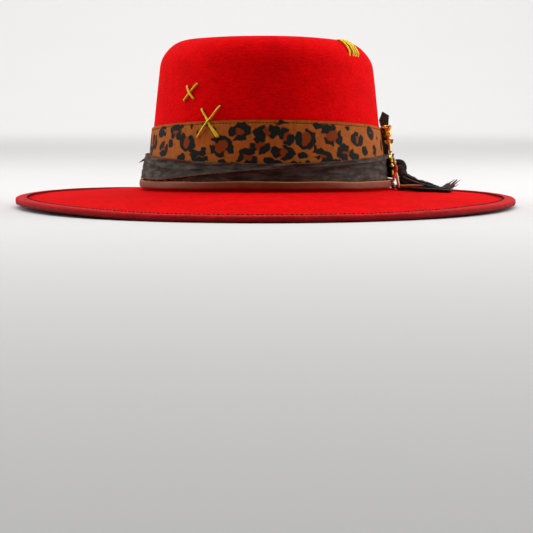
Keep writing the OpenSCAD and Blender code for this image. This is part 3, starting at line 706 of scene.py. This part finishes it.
def tail(route, halves, pleats, seed, ragged):
    """A pleated tail: route is (direction, out, clearance), halves are half widths and heights."""
    line = curve([on_brim(*stop) for stop in route], 8)
    size = curve([Vector((*half, 0)) for half in halves], 8)
    frames = []
    for k, ((place, side, up), half) in enumerate(zip(frames_on(line), size)):
        lift = 1 + 0.2 * noise.noise(Vector((k / 4, seed, 0)))
        frames.append((place + up * half.y * MM, side * half.x * MM, up * half.y * MM * lift))
    section = []
    for k in range(pleats * 8):
        a = math.tau * k / (pleats * 8)
        deep = 1 + 0.16 * math.cos(pleats * a)
        section.append((deep * math.cos(a), deep * math.sin(a)))
    bm = along(frames, section)
    for v in bm.verts:
        far = (v.co - line[0]).length / (line[-1] - line[0]).length
        waves = noise.noise_vector(v.co / MM / 3.5 + Vector((seed, 0, 0)))
        v.co += waves * 0.4 * MM
        if far > 0.9:
            v.co.x += ragged * MM * noise.noise(Vector((v.co.y / MM * 0.9, seed, 0))) * (far - 0.9) * 10
    return bm


upper = tail([(-0.9, 13.0, 5.6), (-0.6, 17, 4.2), (0.3, 23, 3.3), (1.2, 29, 2.9), (2.2, 36, 2.6), (3.0, 42, 2.4)],
             [(4.2, 5.0), (5.0, 4.4), (5.6, 3.4), (6.2, 2.6), (6.4, 2.0), (6.0, 1.1)], 9, 2, 2.5)
upper_tail = new_piece("upper_tail", upper, black_cloth, "scarf_tail_upper", sharp=70)
lower = tail([(-0.6, 13.5, 0.5), (0.4, 22, 0.5), (1.5, 30, 0.5), (2.6, 38, 0.5), (3.6, 45, 0.4), (4.4, 51, 0.3)],
             [(5.5, 1.9), (7.0, 1.9), (8.0, 1.9), (8.6, 1.9), (8.6, 1.8), (7.6, 1.2)], 9, 5, 3.0)
lower_tail = new_piece("lower_tail", lower, black_cloth, "scarf_tail_lower", sharp=70)

# The tuft stands up from the tip. Its threads have lost their dye.
frayed = mottled_material("bleached_cotton_threads", "2e2624", "9a8a86", 500.0, 2.0, Roughness=0.9,
                          Specular_IOR_Level=0.1)
tuft = bmesh.new()
for k in range(80):
    root = on_brim(4.2 + rng.uniform(-1.6, 1.2), 47.5 + rng.uniform(-3, 2.5), 1.2)
    reach = Vector((rng.uniform(3, 10), rng.uniform(-2, 3), 0)) * MM
    reach.z = reach.x * rng.uniform(0.35, 0.95)
    middle_point = root + reach * 0.5 + Vector((0, 0, rng.uniform(-0.8, 0.8))) * MM
    tube([root, middle_point, root + reach], [0.00045, 0.0004, 0.00015], 5, 2, tuft)
tuft_piece = new_piece("frayed_tuft", tuft, frayed, sharp=70)

# ---- Scarf stub ----
# The short end of the strip comes out behind the knot, is folded to a stiff tab and stands up
# against the band behind the pin.

stub_foot, stub_edge = 34.85, band_out(34.85)
outline = [(0.05, 34.85), (3.2, 34.85), (3.4, 50), (2.9, 58.3), (3.3, 65.0), (-1.4, 67.8), (-3.8, 61.4),
           (-2.1, 55.3), (-1.5, 50), (-1.0, 45), (-0.5, 40)]
stub = bmesh.new()
loop = [stub.verts.new((stub_edge + out, -1.7, z)) for out, z in outline]
side_face = stub.faces.new(loop)
grown = bmesh.ops.extrude_face_region(stub, geom=[side_face])["geom"]
bmesh.ops.translate(stub, verts=[g for g in grown if isinstance(g, bmesh.types.BMVert)], vec=(0, 3.4, 0))
bmesh.ops.triangulate(stub, faces=[f for f in stub.faces if len(f.verts) > 4])
bmesh.ops.subdivide_edges(stub, edges=stub.edges[:], cuts=4, use_grid_fill=True)
for v in stub.verts:
    fold = noise.noise(Vector((v.co.x / 3, v.co.y / 1.2, v.co.z / 11)))
    v.co.x += 0.35 * fold * (v.co.x > stub_edge + 1.5)
    v.co.y += 0.6 * noise.noise(Vector((v.co.x / 2.5, 1, v.co.z / 6))) + 0.05 * (v.co.z - stub_foot)
    v.co.x -= stub_edge
bmesh.ops.transform(stub, matrix=frame_at(-4.2, stub_edge, 0), verts=stub.verts)
standing_stub = new_piece("standing_stub", stub, black_cloth, "scarf_stub", sharp=50)

# ---- Leather lace ----
# A flat brown leather lace, 5 mm wide, goes once round the foot of the crown over the band. Its
# pointed end is left stiff and stands out over the brim. Its top is painted pale, a painted highlight.

LACE_LOW, LACE_IN = 13.65, 5.68

cowhide, tree, surface, place = begin_material("brown_cowhide", Roughness=0.6, Specular_IOR_Level=0.25)
rise = add(tree, "ShaderNodeAttribute", attribute_name="rise").outputs["Fac"]
pore = add(tree, "ShaderNodeTexVoronoi", {"Vector": place, "Scale": 1100.0})
scuff = add(tree, "ShaderNodeTexNoise", {"Vector": place, "Scale": 160.0, "Detail": 5.0, "Roughness": 0.65})
hide = add(tree, "ShaderNodeMix", {0: scuff.outputs[0], 6: linear("54240f"), 7: linear("8c4322")}, data_type="RGBA")
# Painted highlight: the top half millimetre of the lace is turned pale tan.
edge = add(tree, "ShaderNodeMapRange", {"Value": rise, "From Min": LACE_LOW + 4.7, "From Max": LACE_LOW + 5.15})
painted_top_highlight = add(tree, "ShaderNodeMix", {0: edge.outputs[0], 6: hide.outputs[2], 7: linear("c9803f")}, data_type="RGBA")
tree.links.new(painted_top_highlight.outputs[2], surface.inputs["Base Color"])
height = add(tree, "ShaderNodeMath", {0: pore.outputs[0], 1: scuff.outputs[0]}, operation="ADD")
bump = add(tree, "ShaderNodeBump", {"Height": height.outputs[0], "Strength": 0.35, "Distance": 0.0003})
tree.links.new(bump.outputs[0], surface.inputs["Normal"])


def lace_shape(out, z, facing, run):
    """The lace leans on the band, and it is never quite straight."""
    x, y = oval(facing, 7)
    sway = noise.noise(Vector((x / 35, y / 35, 8)))
    loose_end = 1.7 * math.exp(-(((run - 147) / 9) ** 2))
    return out + loose_end + 0.25 * sway + 0.15 * noise.noise(Vector((x / 9, y / 9, z / 3))), z + 0.45 * sway


section = []
for centre, start in (((8.68 - 1.2, LACE_LOW + 1.2), 270), ((8.68 - 1.2, LACE_LOW + 4.0), 0),
                      ((LACE_IN + 1.2, LACE_LOW + 4.0), 90), ((LACE_IN + 1.2, LACE_LOW + 1.2), 180)):
    section += arc(Vector(centre), 1.2, start, start + 90, 4)
section.insert(5, (8.8, LACE_LOW + 2.6))
new_piece("lace", wrap(section, start=-5.5, sweep=359.3, columns=480, shape=lace_shape), cowhide, "leather_lace",
          sharp=70)

lace_line = curve([on_brim(-4.6, 8.6, 2.4), on_brim(-4.6, 15, 2.9), on_brim(-4.5, 20, 3.5), on_brim(-4.4, 25.5, 4.2),
                   on_brim(-4.2, 31.6, 4.9)], 6)
lace_half = curve([Vector(h) for h in ((2.4, 1.2, 0), (2.4, 1.2, 0), (2.1, 1.1, 0), (1.6, 0.9, 0), (0.4, 0.4, 0))], 6)
lace_frames = [(p, side * h.x * MM, up * h.y * MM) for (p, side, up), h in zip(frames_on(lace_line), lace_half)]
lace_end = along(lace_frames, [(-1, -0.4), (-0.8, -0.9), (0.8, -0.9), (1, -0.4), (1, 0.5), (0.8, 1), (0, 1.15),
                               (-0.8, 1), (-1, 0.5)])
highlight_rise_layer = lace_end.verts.layers.float.new("rise")
bmesh.ops.recalc_face_normals(lace_end, faces=lace_end.faces)
lace_end.normal_update()
# Faces of the point that look up get a higher rise, so they take the pale colour: a painted highlight from above.
for v in lace_end.verts:
    v[highlight_rise_layer] = LACE_LOW + 3.9 + 1.4 * max(0.0, v.normal.z)
new_piece("lace_point", lace_end, cowhide, "lace_end", sharp=60)

# ---- Rose pin ----
# A gilt brass hat pin: a rosebud of curled petals on a thorned stem with two small leaves. Its
# bare point goes down through the scarf, and a collar stops it at the lashing.

# Gilt that has been handled: a warm yellow metal with browner clouds in it.
gilt = mottled_material("polished_gilt_brass", "d89030", "ffd768", 320.0, 3.0, Metallic=1.0, Roughness=0.3)

pin_frame = frame_at(-7, 9.097, 27.05, LEAN)
bloom = bmesh.new()
# Each petal: the direction it faces, its foot and lip radii, its foot and lip heights, its sweep.
for way, foot, lip, low, high, sweep in [
        (0, 1.1, 4.3, 22.6, 30.2, 150), (125, 1.1, 4.3, 22.6, 30.5, 150), (240, 1.1, 4.2, 22.6, 29.9, 150),
        (60, 0.9, 3.4, 23.0, 31.0, 150), (180, 0.9, 3.3, 23.0, 31.3, 150), (300, 0.9, 3.4, 23.0, 30.9, 150),
        (20, 0.6, 2.2, 23.5, 31.4, 190), (200, 0.6, 2.2, 23.5, 31.5, 190), (110, 0.3, 1.2, 24, 31.3, 250)]:
    profile = [(foot, 0), (foot + (lip - foot) * 0.45, 0.16), (foot + (lip - foot) * 0.5, 0.34),
               (foot + (lip - foot) * 0.4, 0.5), (foot + (lip - foot) * 0.55, 0.7), (foot + (lip - foot) * 0.74, 0.88),
               (lip * 0.97, 0.97), (lip + 0.25, 1.0), (lip + 0.45, 0.975)]
    verts = [bloom.verts.new((r, 0, low + (high - low) * share)) for r, share in profile]
    edges = [bloom.edges.new(pair) for pair in zip(verts, verts[1:])]
    bmesh.ops.rotate(bloom, verts=verts, matrix=Matrix.Rotation(math.radians(way - sweep / 2), 3, "Z"))
    old = set(bloom.verts) - set(verts)
    bmesh.ops.spin(bloom, geom=verts + edges, axis=(0, 0, 1), angle=math.radians(sweep), steps=16)
    for v in set(bloom.verts) - old:
        off = (math.degrees(math.atan2(v.co.y, v.co.x)) - way + 180) % 360 - 180
        height = (v.co.z - low) / (high - low)
        v.co.z -= (high - low) * 0.22 * height * abs(off / (sweep / 2)) ** 2.5
        v.co.xy *= 1 - 0.12 * height * abs(off / (sweep / 2)) ** 2
bmesh.ops.recalc_face_normals(bloom, faces=bloom.faces)
bmesh.ops.solidify(bloom, geom=bloom.faces, thickness=0.28)
tube([Vector((0, 0, z)) for z in (16.8, 19, 21.5, 23.6)], [0.9, 1.0, 1.3, 1.5], 14, 4, bloom, Vector((0, 1, 0)))


def leaves(bm, growing):
    """Pointed leaves with a middle groove: each is a height, a direction, its rise and its length."""
    for height, way, rise_by, long in growing:
        out_way = Vector((*(heading(way) * math.cos(math.radians(rise_by))), math.sin(math.radians(rise_by))))
        line = curve([Vector((0, 0, height)) + out_way * long * s - Vector((0, 0, s * s))
                      for s in (0, 0.35, 0.7, 1)], 3)
        wide = [0.4, 0.85, 1.3, 1.6, 1.65, 1.5, 1.25, 0.9, 0.5, 0.1]
        leaf_frames = [(p, side * w, up * 0.25)
                       for (p, side, up), w in zip(frames_on(line, Vector((0.2, -1, 0.4))), wide)]
        along(leaf_frames, [(-1, 0.5), (-0.5, -0.2), (0, -0.9), (0.5, -0.2), (1, 0.5), (0.5, 0.7), (0, 0.0),
                            (-0.5, 0.7)], bm)


leaves(bloom, [(17.6, 10, 50, 5.0), (18.0, 190, 45, 4.6), (19.0, -90, 55, 4.6), (19.0, 100, 50, 4.4)])
bmesh.ops.rotate(bloom, verts=bloom.verts, cent=(0, 0, 17), matrix=Matrix.Rotation(math.radians(-5), 3, "Y"))
bmesh.ops.transform(bloom, matrix=pin_frame, verts=bloom.verts)
new_piece("gilt_rose", bloom, gilt, "rose_bloom", "rose_pin", sharp=60)

stem_line = [(0, 0, -6.4), (0, 0, -4.5), (0, 0, 2), (0.15, 0.1, 8), (-0.1, 0.05, 13), (0, 0, 17.9)]
stem = tube([Vector(p) for p in stem_line], [0.15, 0.75, 0.75, 0.78, 0.8, 0.95], 14, 5, None, Vector((0, 1, 0)))
tube([Vector((0, 0, 1.5)), Vector((0, 0, 2.2))], [1.5, 1.5], 20, 2, stem, Vector((0, 1, 0)))
for height, way, long in ((5.0, 20, 0.9), (13.5, 100, 0.9)):
    foot = Vector((0, 0, height))
    tip = foot + Vector((*(heading(way) * (0.8 + long)), 0.5))
    tube([foot, foot.lerp(tip, 0.6), tip], [0.4, 0.3, 0.08], 8, 2, stem)
leaves(stem, [(10.6, -75, 30, 4.4), (7.2, -110, 40, 3.8)])
bmesh.ops.transform(stem, matrix=pin_frame, verts=stem.verts)
new_piece("gilt_stem", stem, gilt, "rose_stem", "rose_pin", sharp=50)

# ---- Pin lashing ----
# Black waxed cord, wound four times round the pin's stem and sewn down to the scarf.

waxed = thread_material("black_waxed_cord", "2b2a2c", "0a0a0c")
coil = [Vector((1.45 * math.cos(a / 2.2), 1.45 * math.sin(a / 2.2), -1.05 + 2.1 * a / 55)) for a in range(56)]
lashing = tube(coil, [0.36] * len(coil), 10, 1)
for z in (-0.7, 0.1, 0.8):
    sewn_down = [Vector((-1.2, 0.9, z)), Vector((-2.2, 2.0, z - 0.2)), Vector((-3.2, 2.7, z - 0.5))]
    tube(sewn_down, [0.34] * 3, 8, 3, lashing)
bmesh.ops.transform(lashing, matrix=pin_frame, verts=lashing.verts)
new_piece("lashing_cord", lashing, waxed, "pin_lashing", sharp=60)

# ---- Charm thread ----
# A short black cord that comes out of the scarf and ends in a knot. The charms hang from it.

charm_frame = frame_at(-7, 12.2467, 31.35) @ Matrix.Translation((0, -2.2, 0))
cord = tube([Vector((-4.2, 0, 0)), Vector((-2, 0, 0)), Vector((1.0, 0, 0))], [0.35, 0.35, 0.35], 12, 4)
loop = [Vector((1.1 + 0.35 * math.sin(a / 3), 0.48 * math.cos(a / 2), 0.48 * math.sin(a / 2))) for a in range(20)]
tube(loop, [0.34] * len(loop), 8, 1, cord, Vector((1, 0, 0)))
bmesh.ops.transform(cord, matrix=charm_frame, verts=cord.verts)
new_piece("charm_cord", cord, waxed, "charm_thread", sharp=60)

# ---- Charms ----
# A drilled cream bead turns on the cord. Under it hang a twig of orange coral, a silver bead and
# a black glass bead, all strung on one thread.

# Polished bone lets a little light in, so its cream edges glow.
bone = mottled_material("polished_cream_bone", "c89c62", "f0d8ac", 500.0, 3.0, Roughness=0.35,
                        Subsurface_Weight=0.15, Subsurface_Scale=0.001)

bead = bmesh.new()
ring = [bead.verts.new((x, r, 0)) for x, r in
        [(-1.0, 0.6)] + [tuple(p) for p in arc(Vector((0, 0.62)), 0.95, 165, 15, 12)] + [(1.0, 0.6), (0, 0.55)]]
bead_edges = [bead.edges.new(pair) for pair in zip(ring, ring[1:] + ring[:1])]
bmesh.ops.spin(bead, geom=ring + bead_edges, axis=(1, 0, 0), angle=math.tau, steps=40, use_merge=True)
bmesh.ops.transform(bead, matrix=charm_frame @ Matrix.Translation((-0.9, 0, 0)), verts=bead.verts)
new_piece("cream_bead", bead, bone, "cream_tip", "charm_drop", sharp=60)

# Tumbled coral: a waxy shine over orange veins.
coral_red = mottled_material("polished_orange_coral", "c43206", "f0560e", 700.0, 4.0, Roughness=0.35,
                             Specular_IOR_Level=0.35)

branch_line = [(-0.7, 0, -1.2), (-0.2, 0, -2.8), (0.15, -0.1, -4.3), (-0.3, -0.2, -6), (-0.8, -0.4, -7.8),
               (-1.6, -0.6, -9.6), (-1.7, -0.7, -11.4), (-1.85, -0.7, -13.4)]
half = [0.55, 0.95, 0.9, 1.05, 0.9, 1.05, 0.85, 0.8]
branch = tube([Vector(p) for p in branch_line], half, 14, 6, None, Vector((0, 1, 0)))
for v in branch.verts:
    v.co += noise.noise_vector(v.co / 1.4) * 0.16
for place_at, way in (((0.1, -0.1, -4.6), (0.7, -1.4, -0.9)), ((-0.9, -0.4, -8.3), (-0.5, 1.4, -1.0)),
                      ((-1.7, -0.7, -11.2), (1.0, -1.2, -0.8))):
    foot, tip = Vector(place_at), Vector(place_at) + Vector(way)
    tube([foot, foot.lerp(tip, 0.5), tip], [0.55, 0.45, 0.3], 8, 3, branch, Vector((0, 1, 0)))
bmesh.ops.transform(branch, matrix=charm_frame, verts=branch.verts)
new_piece("coral_twig", branch, coral_red, "coral_branch", "charm_drop", sharp=60)


def bored_bead(radius, hole, centre, flat=1.0):
    """A bead turned with a hole down its middle."""
    bm = bmesh.new()
    edge_at = math.degrees(math.asin(hole / radius))
    ring = [bm.verts.new((p.x, 0, p.y * flat)) for p in arc(Vector((0, 0)), radius, edge_at - 90, 90 - edge_at, 20)]
    ring_edges = [bm.edges.new(pair) for pair in zip(ring, ring[1:] + ring[:1])]
    bmesh.ops.spin(bm, geom=ring + ring_edges, axis=(0, 0, 1), angle=math.tau, steps=40, use_merge=True)
    bmesh.ops.transform(bm, matrix=charm_frame @ Matrix.Translation(centre), verts=bm.verts)
    return bm


# Bright silver with a first grey tarnish.
silver = mottled_material("polished_silver", "a9a9ad", "f2f2f4", 400.0, 2.0, Metallic=1.0, Roughness=0.16)
new_piece("silver_ball", bored_bead(1.2, 0.3, (-1.85, -0.7, -14.7)), silver, "silver_bead", "charm_drop", sharp=60)

# Opaque black glass: one small sharp highlight on a nearly black ball.
glass = mottled_material("black_pressed_glass", "050506", "18181b", 300.0, 2.0, Roughness=0.08, Coat_Weight=0.5)
new_piece("black_glass_ball", bored_bead(1.45, 0.3, (-1.7, -0.7, -17.4)), glass, "black_bead", "charm_drop", sharp=60)

# ---- Quill ----
# A cream spike of bone or quill, tucked under the lashing beside the charms. It points down.

quill_line = [(-0.6, 3.8, -5), (-0.3, 3.8, -7), (0.2, 3.8, -9.7), (0.9, 3.8, -12.8), (1.6, 3.8, -15.8),
              (2.0, 3.8, -17.8)]
quill = tube([Vector(p) for p in quill_line], [0.5, 0.85, 1.1, 1.1, 0.85, 0.3], 14, 6, None, Vector((0, 1, 0)))
bmesh.ops.transform(quill, matrix=charm_frame, verts=quill.verts)
new_piece("bone_quill", quill, bone, "quill", sharp=60)

# ---- Gold stitches ----
# Loose stitches of two-strand metallic cord: a small cross and a large cross on the right of
# the crown, and four bars that run up over its left shoulder.

# Cord wrapped in metallic foil: it glitters in short bright yellow and brown flecks.
lurex = mottled_material("metallic_gold_cord", "9a6c08", "fff02e", 1800.0, 1.0, (0.6, 0.0002), Metallic=0.5,
                         Roughness=0.35)


def twisted(points, bm=None, reach=0.38, turn_length=1.6):
    """Two strands of cord, twisted round one another along a smooth line, in metres."""
    line = curve(points, max(6, round((points[-1] - points[0]).length / MM * 8 / (len(points) - 1))))
    travelled, spots = 0.0, [[], []]
    for k, (place, side, up) in enumerate(frames_on(line, Vector((0.1, 0.1, 1)))):
        travelled += (place - line[k - 1]).length / MM if k else 0
        for strand in (0, 1):
            a = 2 * math.pi * travelled / turn_length + math.pi * strand
            spots[strand].append(place + (side * math.cos(a) + up * math.sin(a)) * reach * MM)
    for strand in spots:
        bm = tube(strand, [0.0003] + [0.00042] * (len(strand) - 2) + [0.0003], 6, 1, bm)
    return bm


def beside(facing, z, off):
    """A point off the crown's wall, where the front's lift has already been taken into account."""
    low = z - front_lift(facing, 1, z)
    return on_hat(facing, wall(low) + off, low)


def stitch(start, end, over, bm=None):
    """One stitch of twisted cord that follows the felt and the band, and dives in at both ends."""
    points = []
    for share in (0, 0.05, 0.2, 0.35, 0.5, 0.65, 0.8, 0.95, 1):
        facing, z = (a + (b - a) * share for a, b in zip(start, end))
        low = z - front_lift(facing, 1, z)
        off = 1.4 * ease((band_top(facing) + 1.2 - low) / 2) + 0.3
        if 0 < share < 1:
            off += 0.6 + over * (1 - abs(2 * share - 1) ** 2)
        points.append(beside(facing, z, off))
    return twisted(points, bm)


small = stitch((-132.0, 87.3), (-142.0, 75.6), 0)
stitch((-140.2, 85.6), (-133.9, 77.2), 0.8, small)
new_piece("small_cross", small, lurex, "gold_cross_small", sharp=60)
large = stitch((-127.4, 70.2), (-115.9, 51.2), 0)
stitch((-126.4, 68.2), (-114.9, 51.6), 0, large)
stitch((-115.6, 72.2), (-128.2, 50.9), 0.9, large)
new_piece("large_cross", large, lurex, "gold_cross_large", sharp=60)

bars = None
for low_facing, top_facing in ((-32.0, -26.7), (-29.2, -23.2), (-27.2, -21.2), (-25.0, -18.8)):
    points = []
    for k in range(9):
        share = k / 8
        spot = SHOULDER_C + (22.9 - 1.2 * (abs(2 * share - 1) ** 8)) * heading(29 + 50 * share)
        points.append(on_hat(low_facing + (top_facing - low_facing) * share, spot.x, spot.y))
    bars = twisted(points, bars, 0.36)
new_piece("shoulder_bars", bars, lurex, "gold_bars", sharp=60)

# ---- Sweatband ----
# A tan leather band inside the crown's foot, sewn near its lower edge to a rolled reed, with a
# small flat bow of ribbon where its two ends meet at the back.


def inside(z):
    """How far out the sweatband's inner face lies."""
    return wall(z) - FELT / math.cos(math.radians(LEAN)) - 1.8


tan_hide, tree, surface, place = begin_material("tan_sheepskin", Roughness=0.5, Specular_IOR_Level=0.4)
pore = add(tree, "ShaderNodeTexVoronoi", {"Vector": place, "Scale": 900.0})
tone = add(tree, "ShaderNodeTexNoise", {"Vector": place, "Scale": 60.0, "Detail": 4.0})
shade = add(tree, "ShaderNodeMix", {0: tone.outputs[0], 6: linear("7d4a24"), 7: linear("a86c3c")}, data_type="RGBA")
tree.links.new(shade.outputs[2], surface.inputs["Base Color"])
bump = add(tree, "ShaderNodeBump", {"Height": pore.outputs[0], "Strength": 0.25, "Distance": 0.0002})
tree.links.new(bump.outputs[0], surface.inputs["Normal"])


def slack(out, z, facing, run):
    """The band's free upper edge waves a little away from the lining."""
    free = max(0, (z - 24) / 22)
    return inside(z) + out - 0.5 * free * (1 + noise.noise(Vector((run / 22, 2, 0)))), z


section = [(0.0, 46.05 - 34 * k / 12) for k in range(13)] + [(1.0, 12.05 + 34 * k / 6) for k in range(7)]
sweat = new_piece("leather_sweatband", wrap(section, columns=360, shape=slack), tan_hide, "sweatband", sharp=60)

pale_cotton = thread_material("pale_cotton_thread", "d9c7a4", "a08a62")
REED_SEAM = 15.05
new_piece("sweatband_stitches", stitch_row(0.0, 3.0, 0.4, 0.24, lambda facing: (inside(REED_SEAM) - 0.12, REED_SEAM)),
          pale_cotton, "sweatband_thread")

reed_at = Vector((inside(12.05) + 0.5, 11.0))
reed = wrap([tuple(p) for p in arc(reed_at, 0.9, 0, 345, 14)], columns=300,
            shape=lambda out, z, facing, run: (out + 0.05 * noise.noise(Vector((run / 4, z, 0))), z))
new_piece("reed", reed, tan_hide, "sweatband_reed", sharp=60)

# Black satin: a long soft shine along the threads.
satin = mottled_material("black_satin_ribbon", "0d0d10", "24242a", 900.0, 2.0, (0.2, 0.0001), Roughness=0.32,
                         Sheen_Weight=0.3, Anisotropic=0.5)

# Its own frame: x points out from the crown's middle, so the bow lies on the band's inner side.
bow = bmesh.new()
for way in (-1, 1):
    line = [Vector((0, way * y, z)) for y, z in ((0.6, 0.0), (2.4, 0.35), (4.6, 0.5), (6.9, 0.2))]
    bow_frames = [(p, Vector((0, 0, h)), Vector((t, 0, 0))) for p, h, t in
                  zip(curve(line, 4), [1.0, 1.3, 1.6, 1.9, 2.1, 2.3, 2.4, 2.5, 2.5, 2.55, 2.5, 2.4, 2.3],
                      [0.3, 0.35, 0.4, 0.42, 0.44, 0.45, 0.45, 0.44, 0.42, 0.4, 0.36, 0.32, 0.28])]
    along(bow_frames, [(-1, -0.6), (-0.5, -1), (0, -0.6), (0.5, -1), (1, -0.6), (1, 0.6), (0, 0.9), (-1, 0.6)], bow)
tube([Vector((0, 0, -1.4)), Vector((0, 0, 1.4))], [0.75, 0.75], 12, 4, bow, Vector((0, 1, 0)))
bmesh.ops.scale(bow, verts=bow.verts, vec=(0.8, 1, 1))
bmesh.ops.transform(bow, matrix=frame_at(90, inside(23.05) - 1.0, 20.05), verts=bow.verts)
bow_piece = new_piece("ribbon_bow", bow, satin, "sweatband_bow", sharp=50)

# ---- Lining ----
# Black satin: a side strip gathered against the crown's inside, and a smooth panel under the
# top that follows the felt's shoulder.


def gathered(out, z, facing, run):
    """The side strip is gathered into fine upright pleats."""
    pleat = math.cos(run * 2 * math.pi / 6.5 + 2 * noise.noise(Vector((run / 18, z / 60, 0))))
    return wall(z) - (FELT + 0.15) / math.cos(math.radians(LEAN)) - 0.25 + out - 0.15 * (1 - pleat), z


section = [(-0.25, 99.4 - 61.3 * k / 14) for k in range(15)] + [(0.25, 38.1 + 61.3 * k / 14) for k in range(15)]
lining = new_piece("side_lining", wrap(section, columns=720, shape=gathered), satin, "lining_side", sharp=60)


def ceiling(depth):
    line = arc(SHOULDER_C, 22 - FELT - depth, LEAN, 90, 12)
    line += arc(LIP_C, 7 - FELT - depth, 90, 90 + SINK, 6)
    return line + arc(FOOT_C, 7 + FELT + depth, 270 + SINK, 270, 6, 1)


def soft(out, z, facing, run):
    return out + 0.1 * noise.noise(Vector((run / 15, z / 9, 0))) * (z < 108), z


top_panel = new_piece("top_lining", wrap(ceiling(0.15)[::-1] + ceiling(0.65), sweep=FULL, columns=300, closed=False,
                                         shape=soft), satin, "lining_top", sharp=60)
